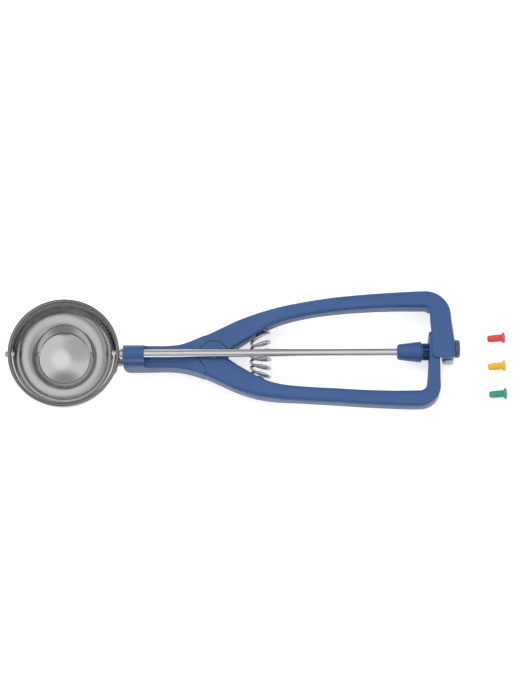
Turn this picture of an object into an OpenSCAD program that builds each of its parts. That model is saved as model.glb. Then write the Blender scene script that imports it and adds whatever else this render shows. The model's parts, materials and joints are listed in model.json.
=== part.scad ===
// Lever ice cream scoop (disher), in millimetres.
// Local frame: +X runs along the shaft from the bowl to the foot of the handle, +Y towards the
// fixed handle's arm, +Z out of the bowl. The shaft's axis is y = 0, z = 0, with x = 0 at the
// bowl's centre. at_rest() then lays the scoop on the surface z = 0.

/* [Bowl] */
// Outer radius of the bowl's round shell
bowl_r = 27.9; // [24:0.1:34]
// Sheet thickness of the bowl
bowl_wall = 0.7; // [0.5:0.1:1]
// Radius of the rolled bead on the rim
bead_r = 0.95; // [0.7:0.05:1.2]
// Height of the bead's underside over the shaft's axis
bead_rise = 1.3; // [1.2:0.1:3]

/* [Scraper] */
// Width of the scraper blade at its middle
blade_w = 10.5; // [6:0.5:14]
// Sheet thickness of the blade
blade_wall = 0.7; // [0.5:0.1:1]
// Radius of the round ears at both ends of the blade
ear_r = 3.4; // [3.2:0.1:4]
// How far below the rim plane the blade rests
blade_rest = 15; // [12:1:25]
// Diameter of the pivot pin on the far side of the bowl
pivot_d = 2.4; // [1.8:0.1:2.4]

/* [Shaft] */
// Diameter of the drive shaft
shaft_d = 4; // [3:0.1:4.2]
// Diameter of the collar between bowl and ferrule
collar_d = 5.8; // [5:0.1:6.4]
// Outer diameter of the front bush in the ferrule
bush_d = 6.2; // [5.6:0.1:6.6]
// Running clearance between shaft and bush, on the radius
fit = 0.05; // [0.02:0.01:0.1]

/* [Knob and pinion] */
// Length of the cone-shaped knob
knob_len = 12.6; // [9:0.1:14]
// Diameter of the knob's front end
knob_front_d = 8; // [6.6:0.1:8.6]
// Diameter of the knob's rear end
knob_rear_d = 10.8; // [8.8:0.1:11.4]
// Module of the pinion and the rack
tooth_m = 1; // [0.9:0.05:1]
// Number of teeth on the pinion
teeth = 8; // [8:1:9]

/* [Ferrule and neck] */
// Length of the ferrule
ferrule_len = 10.7; // [8:0.1:14]
// Gap between the bowl's shell and the ferrule
ferrule_gap = 3; // [2.4:0.1:4]
// Half width of the neck and the ferrule
neck_half = 6; // [5.4:0.1:7]
// Distance from the ferrule to the lever's hinge
neck_len = 35.9; // [32:0.1:42]
// Radius of the ferrule's hump over the shaft
hump_r = 4.3; // [4.2:0.1:5]

/* [Handle] */
// Distance from the hinge to the front of the rear corner
arm_len = 107; // [104:0.5:110]
// Half of the handle's overall width at the rear
grip_half = 31; // [29:0.1:33]
// Width of each arm at the rear
arm_w = 8.9; // [8:0.1:10]
// Radius of the soft edges along the arms
edge_r = 2.2; // [1.6:0.1:2.6]
// Thickness of the roof over the rack
roof = 1.3; // [1:0.1:1.8]
// Sideways gap round the rack in the foot
rack_gap = 0.35; // [0.3:0.05:0.5]

/* [Hinge] */
// Radius of the lever's hinge disc
disc_r = 7.4; // [6.8:0.1:7.8]
// Diameter of the hinge pin
hinge_pin_d = 3.8; // [3:0.1:4.4]
// Turn of the lever from its open stop to the squeezed stop, in degrees
lever_travel = 6; // [4:0.1:6]

/* [Spring] */
// Outer diameter of the return spring
spring_d = 11.6; // [10.4:0.1:11.8]
// Wire diameter of the return spring
wire_d = 1.5; // [1.2:0.1:1.6]
// Number of turns
turns = 5.5; // [4.5:0.5:6]

/* [Foot and pins] */
// Diameter of the end cap on the rear of the foot
cap_d = 9.2; // [7.6:0.1:9.4]
// Shank diameter of a marker pin
marker_d = 3.76; // [3.4:0.02:3.8]
// Flange diameter of a marker pin
marker_flange_d = 5.6; // [5:0.1:6]
// Whole length of a marker pin
marker_len = 8.9; // [7.5:0.1:9]

/* [Hidden] */
$fn = 64;

// Finishes
steel = [0.80, 0.80, 0.81];
dark_steel = [0.50, 0.51, 0.53];
nylon = [0.27, 0.39, 0.58];
neutral_nylon = [0.80, 0.84, 0.84];

// Small fits between pieces that touch
seat = 0.02;            // fixed pieces on one body
slide = 0.05;           // a pin in its bore
tiny = 0.01;            // overlap of a cut past a face
far = 100;              // longer than anything that is cut away

// Shaft and its pieces
shaft_r = shaft_d / 2;
pivot_r = pivot_d / 2;
bead_z = bead_rise + bead_r;
bead_mid_r = bowl_r + 0.1;
rim_r = bead_mid_r + bead_r;
blade_gap = 0.3;
blade_r = bowl_r - bowl_wall - blade_gap;
blade_in_r = blade_r - blade_wall;
ferrule_x = bowl_r + ferrule_gap;
neck_x = ferrule_x + ferrule_len;
hinge_x = neck_x + neck_len;

// Side profile of the handle: [distance from the hinge, height], top and underside
top_line = [[-neck_len, -5.6], [-17, -5.0], [-7, -2.8], [9, -2.6], [20.5, -1.8], [35.5, 1.8],
    [60.5, 6.6], [76, 7.2], [arm_len + 20, 7.3]];
under_line = [[-neck_len, -16.3], [-17, -15.6], [-1.5, -13.2], [14, -12.5], [26.5, -11.2],
    [45, -5.6], [60.5, -3.4], [76, -2.8], [arm_len + 20, -2.6]];

// Plan of one half of the handle: [distance from the hinge, distance from the shaft's axis]
outer_line = [[-neck_len, neck_half], [-18, neck_half + 0.5], [-5, 10.6], [14, 19.5], [27, 23.5],
    [45, 26.5], [76, 29.4], [arm_len, grip_half]];
inner_line = [[7.5, 1.5], [13.9, 5.9], [29.5, 14.9], [45, 18.5], [70, 21.1], [92, 22.1],
    [arm_len, grip_half - arm_w]];

// Hinge: a lap joint with the lever's disc on top of the fixed handle's plate
lap_z = -7;
lap_gap = 0.15;
disc_top = -2.6;
disc_gap = 0.3;
plate_r = disc_r + 0.5;
plate_bottom = -13.2;
seam_gap = 0.15;
seam_r = 6.55;          // the seam bulges round a point in front of the hinge, at the lever's side
seam_centre = [hinge_x - 10.9, 8.2];
seam_x = seam_centre[0] + seam_r;
seam_meet = 3;          // where the seam meets the disc, measured from the shaft's axis
lever_front = 6.9;      // the lever starts this far in front of the hinge
collar_len = 1.5;       // rim of the neck behind the ferrule
collar_rise = 0.7;
hinge_pin_r = hinge_pin_d / 2;
clip_t = 0.8;

// Pinion and rack: the rack lies under the pinion, in the slot of the lever's upright
pitch_r = tooth_m * teeth / 2;
tip_r = pitch_r + 0.5 * tooth_m;
root_r = pitch_r - 0.95 * tooth_m;
pressure = 25;
backlash = 0.14;
base_r = pitch_r * cos(pressure);
rack_rear = hinge_x + arm_len + 10.1;
upright_t = 5.4;
rack_in_r = rack_rear - hinge_x - upright_t;
rack_pitch_r = rack_rear - hinge_x - 2.1;
rack_tip_z = -(pitch_r - 0.7 * tooth_m);
rack_root_z = -(tip_r + 0.3);
rack_floor = 1.8;
rack_bottom = rack_root_z - rack_floor;
slot_top = tip_r + 0.4;
rack_roof = 2.0;
rack_top = slot_top + rack_roof;
corner_y = grip_half - arm_w - 4;
lever_corner_y = grip_half - arm_w - 4.1;
slot_low = 0.6 - lever_corner_y;
slot_high = tip_r + 0.4;
tip_bar = 4.4;
rack_soft = 0.8;
passage_len = 7;
rack_tip_y = slot_high + tip_bar;
tooth_step = tooth_m * 180 / rack_pitch_r;
pinion_lead = 3;        // the pinion starts this far in front of the rack
pinion_front = hinge_x + rack_in_r - pinion_lead;
pinion_rear = rack_rear - 0.5;
hub_r = root_r - 0.15;
tooth_root = 0.4;       // depth of a tooth's base inside the core

// Foot of the fixed handle
foot_y = -5.2;
foot_rear = rack_rear + 7.9;
roof_under = rack_top + 0.3;
roof_top = roof_under + roof;
rise_from = arm_len - 47;
rise_len = 45;          // the fixed arm's top rises to the roof over this length
bush_front = rack_rear + 1.05;
bush_rear = bush_front + 0.95;
washer_t = 0.4;
rear_bush_r = 2.9;
barrel_r = 3.9;
marker_r = marker_d / 2;
marker_x = bush_rear + 0.4 + marker_r + slide;
marker_z = 0.3;
flange_t = 1.2;
cap_y = 0.9;
cap_z = 2.2;
cap_t = 2.5;
cap_seat = 0.35;

knob_rear = pinion_front - 1;
knob_front = knob_rear - knob_len;
cross_pin_x = (knob_front + knob_rear) / 2;
cross_pin_r = 0.75;
shaft_front = blade_in_r - 1;
shaft_rear = bush_rear - 0.05;

// Tang: a flat bar welded to a saddle under the bowl's rear
tang_half = 3;
tang_top = -9.4;
tang_bottom = -13.2;
tang_rear = neck_x + 19;
saddle_t = 1.2;
saddle_half = 8;
saddle_reach = 2.5;     // saddle above and below the bar
rivet_r = 1.4;
rivet_head_r = 2.3;
rivet_head_t = 0.8;
rivet_base = under_line[0][1] - 0.1;
rivet_top = tang_top + 1.6;
rivet_at = [neck_x + 6, neck_x + 14];

// Spring between the arms, under the shaft
spring_x = hinge_x + 24.5;
spring_r = (spring_d - wire_d) / 2;
spring_z = -(shaft_r + 0.3 + spring_d / 2);
spring_half = 11;
spring_tilt = 25;
peg_r = spring_r - wire_d / 2 - 1.6;
peg_len = 1.2;
wall_slope = 30;

// Lying on a surface: the bowl's shell and the rear edge of the rack's underside touch it
heel = [rack_rear - rack_soft, rack_bottom + rack_soft];
rest_tilt = asin((bowl_r - rack_soft) / norm(heel)) - atan2(-heel[1], heel[0]);
pins_x = 223.1;
pins_y = [7.5, -7.6, -22.5];
pins_shift = [0, -0.1, 0.2];
whole_front = -(rim_r + 1.7);
whole_rear = pins_x + marker_len / 2 + pins_shift[2];
centre_x = (whole_front + whole_rear) / 2;

// Value of a smooth line through its points at x, with slopes from the neighbouring points
function slope(line, i) =
    let (a = max(i - 1, 0), b = min(i + 1, len(line) - 1))
    (line[b][1] - line[a][1]) / (line[b][0] - line[a][0]);
function place(line, x, i = 0) = i >= len(line) - 2 || x < line[i + 1][0] ? i : place(line, x, i + 1);
function along(line, x) =
    let (i = place(line, x), step = line[i + 1][0] - line[i][0],
        u = min(max((x - line[i][0]) / step, 0), 1), v = 1 - u)
    line[i][1] * v * v * (1 + 2 * u) + line[i + 1][1] * u * u * (3 - 2 * u)
        + step * u * v * (slope(line, i) * v - slope(line, i + 1) * u);
function ease(u) = let (t = min(max(u, 0), 1)) t * t * (3 - 2 * t);

// Outline of a rectangle with round corners, centred, as [across, up]
function soft_section(w, h, r) =
    [for (c = [0:3], k = [0:3])
        let (a = 90 * c + 30 * k, sx = c == 0 || c == 3 ? 1 : -1, sy = c < 2 ? 1 : -1)
        [sx * (w / 2 - r) + r * cos(a), sy * (h / 2 - r) + r * sin(a)]];

// One ring of a sweep: the section stands on the line from a to b in plan, between two heights
function ring(a, b, low, high, r) =
    let (w = norm(b - a), dir = (b - a) / w, mid = (a + b) / 2)
    [for (p = soft_section(w, high - low, r))
        [mid[0] + dir[0] * p[0], mid[1] + dir[1] * p[0], (low + high) / 2 + p[1]]];

// Closed solid through a list of rings
module sweep(rings) {
    n = len(rings[0]);
    last = len(rings) - 1;
    polyhedron(
        points = [for (r = rings) each r],
        faces = concat(
            [[for (k = [0:n - 1]) k]],
            [for (i = [0:last - 1], k = [0:n - 1])
                let (q = (k + 1) % n)
                [i * n + k, (i + 1) * n + k, (i + 1) * n + q, i * n + q]],
            [[for (k = [n - 1:-1:0]) last * n + k]]
        ),
        convexity = 6
    );
}

// Rings of an arm from x0, measured from the hinge, to the rear corner, at positive y
function beam_rings(x0, rise) =
    [for (x = [x0:4:arm_len - 2])
        ring([hinge_x + x, along(inner_line, x)], [hinge_x + x, along(outer_line, x)],
            along(under_line, x), along(top_line, x) + rise * ease((x - rise_from) / rise_len), edge_r)];

// Rings round the rear corner, fanned about its centre. Each pair holds the values at its two ends:
// inner and outer radius, underside and top, and the radius of the soft edges
function corner_rings(centre, inner, outer, low, high, soft) =
    [for (k = [0:5])
        let (u = k / 5, a = 90 * (1 - u), dir = [cos(a), sin(a)], mix = [1 - u, u])
        ring(centre + dir * (inner * mix), centre + dir * (outer * mix),
            low * mix, high * mix, soft * mix)];

module about_hinge(a) {
    translate([hinge_x, 0, 0])
        rotate([0, 0, a])
            translate([-hinge_x, 0, 0])
                children();
}

// Cylinder along +X from x0 to x1 on the shaft's axis
module round_x(x0, x1, r, r2 = undef) {
    translate([x0, 0, 0])
        rotate([0, 90, 0])
            cylinder(h = x1 - x0, r1 = r, r2 = is_undef(r2) ? r : r2);
}

// Lays a piece of the scoop on the surface z = 0, with the whole set centred over the origin
module at_rest() {
    translate([-centre_x, 0, bowl_r])
        rotate([0, rest_tilt, 0])
            children();
}

module bowl() {
    color(steel)
        at_rest()
            difference() {
                union() {
                    difference() {
                        union() {
                            intersection() {
                                sphere(r = bowl_r, $fn = 96);
                                translate([-far, -far, -far])
                                    cube([2 * far, 2 * far, far]);
                            }
                            cylinder(r = bowl_r, h = bead_z, $fn = 96);
                        }
                        sphere(r = bowl_r - bowl_wall, $fn = 96);
                        cylinder(r = bowl_r - bowl_wall, h = bead_z + tiny, $fn = 96);
                    }
                    rotate_extrude($fn = 96)
                        translate([bead_mid_r, bead_z])
                            circle(r = bead_r, $fn = 32);
                }
                round_x(-far, 0, pivot_r + seat);
                round_x(0, far, shaft_r + 2 * slide);
            }
}

module bowl_tang() {
    color(dark_steel)
        at_rest()
            difference() {
                union() {
                    intersection() {
                        sphere(r = bowl_r + saddle_t);
                        translate([bowl_r * 0.6, -saddle_half, tang_bottom - saddle_reach])
                            cube([bowl_r, 2 * saddle_half, tang_top - tang_bottom + 2 * saddle_reach]);
                    }
                    translate([bowl_r * 0.7, -tang_half, tang_bottom])
                        cube([tang_rear - bowl_r * 0.7, 2 * tang_half, tang_top - tang_bottom]);
                }
                sphere(r = bowl_r + seat);
                tang_rivet_bores(rivet_r + seat);
            }
}

module tang_rivet_bores(r) {
    for (x = rivet_at)
        translate([x, 0, rivet_base - 1])
            cylinder(r = r, h = rivet_top - rivet_base + 1.4);
}

module tang_rivets() {
    color(steel)
        at_rest()
            for (x = rivet_at)
                translate([x, 0, rivet_base]) {
                    cylinder(r = rivet_r, h = rivet_top - rivet_base);
                    cylinder(r = rivet_head_r, h = rivet_head_t);
                }
}

// The blade is cut from a round shell: a strip under the axis with an ear round each pivot
module scraper_blade() {
    color(steel)
        at_rest()
            rotate([blade_rest - 90, 0, 0])
                difference() {
                    intersection() {
                        difference() {
                            sphere(r = blade_r, $fn = 96);
                            sphere(r = blade_in_r, $fn = 96);
                        }
                        union() {
                            translate([0, 0, -far])
                                linear_extrude(far)
                                    blade_outline();
                            round_x(-far, far, ear_r);
                        }
                    }
                    round_x(-far, 0, pivot_r + slide);
                    round_x(0, far, shaft_r + seat);
                }
}

// Plan of the blade: wide at the middle, as wide as the ears at the ends
module blade_outline() {
    side = [for (k = [-8:8]) let (u = k / 8) [u * bowl_r, ear_r + (blade_w / 2 - ear_r) * cos(90 * u)]];
    polygon(concat(side, [for (k = [16:-1:0]) [side[k][0], -side[k][1]]]));
}

module pivot_pin() {
    head_x = -(rim_r + 0.05);
    color(steel)
        at_rest() {
            round_x(head_x - 1.6, head_x, pivot_r + 0.5);
            round_x(head_x - tiny, -(blade_in_r - 0.25), pivot_r);
            round_x(-(blade_in_r - 0.25), -(blade_in_r - 0.8), pivot_r + 0.5);
        }
}

module shaft_collar() {
    color(steel)
        at_rest()
            difference() {
                round_x(rim_r + 0.2, ferrule_x - 0.2, collar_d / 2);
                round_x(0, far, shaft_r + seat);
            }
}

module drive_shaft() {
    color(steel)
        at_rest() {
            round_x(shaft_front, shaft_rear, shaft_r);
            round_x(shaft_front - 0.2, blade_in_r - 0.3, shaft_r + 0.4);
        }
}

// Section of the ferrule across the shaft: a soft block with a hump round the bush
module ferrule_section() {
    shoulder = 3.5;
    foot_r = 1;
    low = along(under_line, -neck_len) - 0.1;
    high = -1.5;
    circle(r = hump_r);
    for (s = [-1, 1]) {
        translate([s * (neck_half - shoulder), high - shoulder])
            circle(r = shoulder);
        translate([s * (neck_half - foot_r), low + foot_r])
            circle(r = foot_r);
    }
    translate([-(neck_half - foot_r), low])
        square([2 * (neck_half - foot_r), high - low - shoulder]);
    translate([-neck_half, low + foot_r])
        square([2 * neck_half, high - low - foot_r - shoulder]);
    translate([-(neck_half - shoulder), low + foot_r])
        square([2 * (neck_half - shoulder), high - low - foot_r]);
}

// Side of the ferrule: the lower front corner is rounded off towards the bowl
module ferrule_side() {
    low = along(under_line, -neck_len) - 0.2;
    chin = [4.2, 11];
    difference() {
        translate([ferrule_x, low])
            square([ferrule_len, hump_r - low]);
        translate([ferrule_x - tiny, low - tiny])
            square(chin);
    }
    translate([ferrule_x + chin[0], low + chin[1]])
        scale([chin[0] / chin[1], 1])
            circle(r = chin[1]);
}

module ferrule() {
    color(nylon)
        at_rest()
            difference() {
                intersection() {
                    translate([ferrule_x, 0, 0])
                        rotate([90, 0, 90])
                            linear_extrude(ferrule_len)
                                ferrule_section();
                    translate([0, far / 2, 0])
                        rotate([90, 0, 0])
                            linear_extrude(far)
                                ferrule_side();
                }
                round_x(0, far, bush_d / 2 + seat);
                tang_slot();
            }
}

module tang_slot() {
    g = 0.1;
    translate([ferrule_x - far / 2, -tang_half - g, tang_bottom - g])
        cube([tang_rear + g - ferrule_x + far / 2, 2 * (tang_half + g), tang_top - tang_bottom + 2 * g]);
}

module front_bush() {
    color(neutral_nylon)
        at_rest()
            difference() {
                round_x(ferrule_x + 0.1, neck_x - 0.1, bush_d / 2);
                round_x(0, far, shaft_r + fit);
            }
}

// Seat of the spring on an arm at positive y: a peg on the wall's slope
module spring_peg() {
    wall = along(inner_line, spring_x - hinge_x);
    translate([spring_x, wall + 1.5, spring_z + 0.6])
        rotate([90, 0, wall_slope])
            cylinder(r = peg_r, h = peg_len + 1.5);
}

module fixed_handle() {
    centre = [hinge_x + arm_len + 2.7, corner_y];
    color(nylon)
        at_rest()
            difference() {
                union() {
                    difference() {
                        union() {
                            neck_body();
                            sweep(concat(
                                beam_rings(-14, roof_top - 7.3),
                                corner_rings(centre, [grip_half - arm_w - centre[1], 2.3],
                                    [grip_half - centre[1], 13.5], [-2.6, -2.6],
                                    [roof_top, roof_top], [edge_r, edge_r]),
                                column_rings()
                            ));
                        }
                        translate([hinge_x, 0, lap_z - lap_gap])
                            cylinder(r = disc_r + disc_gap, h = far);
                    }
                    translate([hinge_x, 0, plate_bottom])
                        cylinder(r = plate_r, h = lap_z - lap_gap - plate_bottom);
                    spring_peg();
                    round_x(bush_front - 0.3, marker_x, barrel_r);
                }
                rack_passage();
                translate([hinge_x, 0, -far])
                    cylinder(r = hinge_pin_r + seat, h = 2 * far);
                round_x(bush_front - 5, bush_rear, rear_bush_r + seat);
                marker_bore();
                translate([foot_rear - cap_seat, cap_y, cap_z])
                    rotate([0, 90, 0])
                        cylinder(r = cap_d / 4 + seat, h = far);
                tang_slot();
                tang_rivet_bores(rivet_r + seat);
                for (x = rivet_at)
                    translate([x, 0, rivet_base - 1])
                        cylinder(r = rivet_head_r + 0.1, h = 1 + rivet_head_t + 0.05);
            }
}

// Rings of the neck, measured from the ferrule. The first two stand higher, as a rim
function neck_rings() =
    let (body = [for (k = [1:8]) (seam_x - neck_x) * k / 8])
    [for (s = concat([0, collar_len, collar_len + 0.05], body))
        let (x = s - neck_len, w = along(outer_line, x), rise = s > collar_len ? 0 : collar_rise)
        ring([hinge_x + x, -w], [hinge_x + x, w], along(under_line, x), along(top_line, x) + rise, 1.2)];

// The neck ends in a round bulge at the lever's side, between the disc and the outer edge
module neck_body() {
    difference() {
        sweep(neck_rings());
        difference() {
            translate([seam_centre[0], -far - seam_meet, -far])
                cube([far, far, 2 * far]);
            mirror([0, 1, 0])
                seam_bulge(0);
        }
    }
}

// Round end of the neck, at positive y
module seam_bulge(gap) {
    translate([seam_centre[0], seam_centre[1], -far])
        cylinder(r = seam_r + gap, h = 2 * far);
}

// Rings down the column to the foot, whose end is rounded
function column_rings() =
    let (front = hinge_x + arm_len + 5.6)
    [for (s = [
        [13, front - 0.4, foot_rear - 1.3, 0],
        [8, front, foot_rear - 0.7, 0],
        [3, front + 0.1, foot_rear - 0.1, 0],
        [-1.5, front + 0.1, foot_rear, 0],
        [foot_y + 1, front + 0.3, foot_rear - 0.6, 0.3],
        [foot_y, front + 1.3, foot_rear - 1.8, 1.2]])
        ring([s[1], s[0]], [s[2], s[0]], -2.6 + s[3], roof_top - s[3] * 0.4, edge_r)];

// Room for the lever's upright in the column, at both ends of its swing
module rack_passage() {
    for (a = [0, lever_travel])
        about_hinge(a)
            translate([rack_rear - passage_len, slot_low - rack_gap, -far])
                cube([passage_len + rack_gap, rack_tip_y - slot_low + 2 * rack_gap, roof_under + far]);
}

module marker_bore() {
    translate([marker_x, foot_y + marker_len - flange_t + 0.2, marker_z])
        rotate([90, 0, 0])
            cylinder(r = marker_r + slide, h = far);
}

module squeeze_lever() {
    centre = [hinge_x + arm_len - 0.4, lever_corner_y];
    color(nylon)
        at_rest()
            difference() {
                union() {
                    mirror([0, 1, 0])
                        difference() {
                            union() {
                                sweep(concat(
                                    beam_rings(-lever_front, 0),
                                    corner_rings(centre,
                                        [grip_half - arm_w - centre[1], upright_front(centre[1]) - centre[0]],
                                        [grip_half - centre[1] - 0.3, rack_rear - centre[0]],
                                        [-2.6, rack_bottom], [7.3, rack_top], [edge_r, rack_soft]),
                                    upright_rings()
                                ));
                                spring_peg();
                            }
                            translate([hinge_x, 0, -far])
                                cylinder(r = plate_r + disc_gap, h = far + lap_z + lap_gap);
                            for (a = [0, lever_travel])
                                about_hinge(a)
                                    seam_bulge(seam_gap);
                            translate([rack_rear - far / 2, -slot_high, rack_root_z])
                                cube([far, slot_high - slot_low, slot_top - rack_root_z]);
                        }
                    translate([hinge_x, 0, lap_z + lap_gap])
                        cylinder(r = disc_r, h = disc_top - lap_z - lap_gap);
                    rack_teeth();
                }
                translate([hinge_x, 0, -far])
                    cylinder(r = hinge_pin_r + slide, h = 2 * far);
            }
}

// Front edge of the upright: an arc about the hinge
function upright_front(y) = hinge_x + sqrt(rack_in_r * rack_in_r - y * y);

// Rings along the upright, at positive y and on past the shaft to its rounded tip
function upright_rings() =
    concat(
        [for (y = [lever_corner_y - 2.5:-4:-6.1])
            ring([upright_front(y), y], [rack_rear, y], rack_bottom, rack_top, rack_soft)],
        [for (k = [0:3])
            let (a = 30 * k, back = 1.5 * (1 - cos(a)), y = -(rack_tip_y - 1.5 + 1.5 * sin(a)))
            ring([upright_front(y) + back, y], [rack_rear - back, y],
                rack_bottom + back * 0.4, rack_top - back * 0.4, rack_soft)]);

module upright_outline() {
    front = [for (k = [0:8]) let (y = slot_low + (slot_high - slot_low) * k / 8) [upright_front(y), y]];
    polygon(concat(front, [[rack_rear, slot_high], [rack_rear, slot_low]]));
}

// Rack teeth stand radially about the hinge, so that they mesh over the lever's whole turn
module rack_teeth() {
    w = PI * tooth_m / 2 - backlash;
    grow = tan(pressure);
    low = rack_root_z - 0.3;
    intersection() {
        translate([0, 0, low])
            linear_extrude(rack_tip_z - low)
                upright_outline();
        for (k = [-9:3])
            if ((k + 1) * tooth_step * PI / 180 * rack_pitch_r > slot_low
                && (k + 1) * tooth_step * PI / 180 * rack_pitch_r < slot_high + tooth_m)
                about_hinge((k + 0.5) * tooth_step)
                    translate([hinge_x + rack_in_r - 3, 0, 0])
                        rotate([90, 0, 90])
                            linear_extrude(12)
                                polygon([
                                    [-w / 2 - (-pitch_r - low) * grow, low],
                                    [w / 2 + (-pitch_r - low) * grow, low],
                                    [w / 2 - (rack_tip_z + pitch_r) * grow, rack_tip_z],
                                    [-w / 2 + (rack_tip_z + pitch_r) * grow, rack_tip_z]]);
    }
}

module hinge_pin() {
    color(dark_steel)
        at_rest()
            translate([hinge_x, 0, plate_bottom - clip_t - 0.9])
                cylinder(r = hinge_pin_r, h = disc_top - 0.1 - plate_bottom + clip_t + 0.9);
}

module hinge_washer() {
    color(steel)
        at_rest()
            translate([hinge_x, 0, lap_z - lap_gap + 0.05])
                difference() {
                    cylinder(r = disc_r - 1.4, h = 2 * lap_gap - 0.1);
                    translate([0, 0, -tiny])
                        cylinder(r = hinge_pin_r + slide, h = 2 * lap_gap + tiny);
                }
}

module hinge_clip() {
    color(dark_steel)
        at_rest()
            translate([hinge_x, 0, plate_bottom - 0.05 - clip_t])
                difference() {
                    cylinder(r = hinge_pin_r + 1.4, h = clip_t);
                    translate([0, 0, -tiny])
                        cylinder(r = hinge_pin_r + seat, h = clip_t + 2 * tiny);
                    translate([hinge_pin_r * 0.4, -0.5, -tiny])
                        cube([hinge_pin_r + 2, 1, clip_t + 2 * tiny]);
                }
}

// The coils fan out about the hinge: each point turns with the tilt of its place on the axis
function spring_point(t) =
    let (a = 360 * turns * t + 90, y = spring_half * (2 * t - 1), f = spring_tilt * (2 * t - 1))
    [spring_x + spring_r * cos(a) * cos(f), y + spring_r * cos(a) * sin(f), spring_z + spring_r * sin(a)];

module return_spring() {
    steps = ceil(turns * 18);
    sides = 8;
    mids = [for (k = [0:steps]) spring_point(k / steps)];
    rings = [for (k = [0:steps])
        let (d = mids[min(k + 1, steps)] - mids[max(k - 1, 0)], dir = d / norm(d),
            f = spring_tilt * (2 * k / steps - 1),
            side = cross(dir, [-sin(f), cos(f), 0]), across = side / norm(side), up = cross(dir, across))
        [for (j = [0:sides - 1])
            mids[k] + (across * cos(360 * j / sides) + up * sin(360 * j / sides)) * wire_d / 2]];
    color(steel)
        at_rest()
            sweep(rings);
}

// Involute of the base circle, turned to the given angle
function involute(r, turn) =
    let (a = acos(base_r / r), inv = tan(a) * 180 / PI - a)
    [r * cos(turn - inv), r * sin(turn - inv)];

// One tooth, rooted inside the pinion's core
module pinion_tooth() {
    inv_p = tan(pressure) * 180 / PI - pressure;
    half = (PI * tooth_m / 2 - backlash) / 2 / pitch_r * 180 / PI + inv_p;
    start = base_r + 0.02;
    flank = concat([(root_r - tooth_root) * [cos(half), sin(half)]],
        [for (k = [0:4]) involute(start + (tip_r - start) * k / 4, half)]);
    polygon(concat([for (p = flank) [p[0], -p[1]]], [for (k = [len(flank) - 1:-1:0]) flank[k]]));
}

module drive_pinion() {
    color(nylon)
        at_rest()
            difference() {
                union() {
                    translate([pinion_front, 0, 0])
                        rotate([90, 0, 90])
                            linear_extrude(pinion_rear - pinion_front) {
                                circle(r = root_r);
                                for (k = [0:teeth - 1])
                                    rotate(360 * k / teeth - 90)
                                        pinion_tooth();
                            }
                    round_x(pinion_front - tiny, bush_front - washer_t - 0.1, hub_r);
                }
                round_x(0, 3 * far, shaft_r + seat);
            }
}

module thrust_washer() {
    color(steel)
        at_rest()
            difference() {
                round_x(bush_front - washer_t - 0.05, bush_front - 0.05, hub_r);
                round_x(0, 3 * far, shaft_r + slide);
            }
}

module shaft_knob() {
    bead = 0.9;
    color(nylon)
        at_rest()
            difference() {
                union() {
                    round_x(knob_front + bead, knob_rear - 0.6, knob_front_d / 2, knob_rear_d / 2);
                    round_x(knob_rear - 0.6 - tiny, knob_rear, knob_rear_d / 2, knob_rear_d / 2 - 0.5);
                    round_x(knob_rear - tiny, pinion_front - 0.1, tip_r);
                    translate([knob_front + bead, 0, 0])
                        rotate([0, 90, 0])
                            rotate_extrude()
                                translate([knob_front_d / 2 - bead + 0.15, 0])
                                    circle(r = bead);
                    round_x(knob_front, knob_front + bead + tiny, knob_front_d / 2 - bead + 0.15);
                }
                round_x(0, 3 * far, shaft_r + seat);
                cross_pin_bore(seat);
            }
}

module cross_pin_bore(g) {
    translate([cross_pin_x, 0, -far])
        cylinder(r = cross_pin_r + g, h = far);
}

module cross_pin() {
    color(dark_steel)
        at_rest()
            translate([cross_pin_x, 0, -knob_front_d / 2])
                cylinder(r = cross_pin_r, h = knob_front_d / 2 - shaft_r - seat);
}

module rear_bush() {
    color(neutral_nylon)
        at_rest()
            difference() {
                round_x(bush_front, bush_rear, rear_bush_r);
                round_x(0, 3 * far, shaft_r + fit);
            }
}

module end_cap() {
    soft = 0.9;
    color([0.30, 0.32, 0.44])
        at_rest()
            translate([foot_rear, cap_y, cap_z])
                rotate([0, 90, 0]) {
                    translate([0, 0, -cap_seat])
                        cylinder(r = cap_d / 4, h = cap_seat + 0.1);
                    translate([0, 0, 0.02])
                        cylinder(r = cap_d / 2, h = cap_t - soft);
                    translate([0, 0, cap_t - soft])
                        rotate_extrude()
                            translate([cap_d / 2 - soft, 0])
                                circle(r = soft);
                    cylinder(r = cap_d / 2 - soft, h = cap_t);
                }
}

// Marker pin along +Z from the outer face of its flange, with a tapered, slit shank
module marker_pin() {
    taper = 2.6;
    difference() {
        union() {
            cylinder(r = marker_flange_d / 2, h = flange_t);
            cylinder(r = marker_r, h = marker_len - taper);
            translate([0, 0, marker_len - taper])
                cylinder(r1 = marker_r, r2 = marker_r - 0.25, h = taper);
        }
        translate([-0.35, -far, marker_len - 4])
            cube([0.7, 2 * far, far]);
    }
}

module marker_pin_neutral() {
    color(neutral_nylon)
        at_rest()
            translate([marker_x, foot_y - flange_t, marker_z])
                rotate([-90, 0, 0])
                    marker_pin();
}

// A loose pin lies on its flange and on the end of its shank
module loose_pin(k, finish) {
    lean = atan2(marker_flange_d / 2 - marker_r + 0.25, marker_len);
    color(finish)
        translate([pins_x + pins_shift[k] + marker_len / 2 - centre_x, pins_y[k], 0])
            rotate([0, -90 - lean, 0])
                translate([marker_flange_d / 2, 0, 0])
                    marker_pin();
}

module marker_pin_red() {
    loose_pin(0, [0.90, 0.33, 0.33]);
}

module marker_pin_yellow() {
    loose_pin(1, [0.95, 0.75, 0.22]);
}

module marker_pin_green() {
    loose_pin(2, [0.24, 0.64, 0.48]);
}

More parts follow.
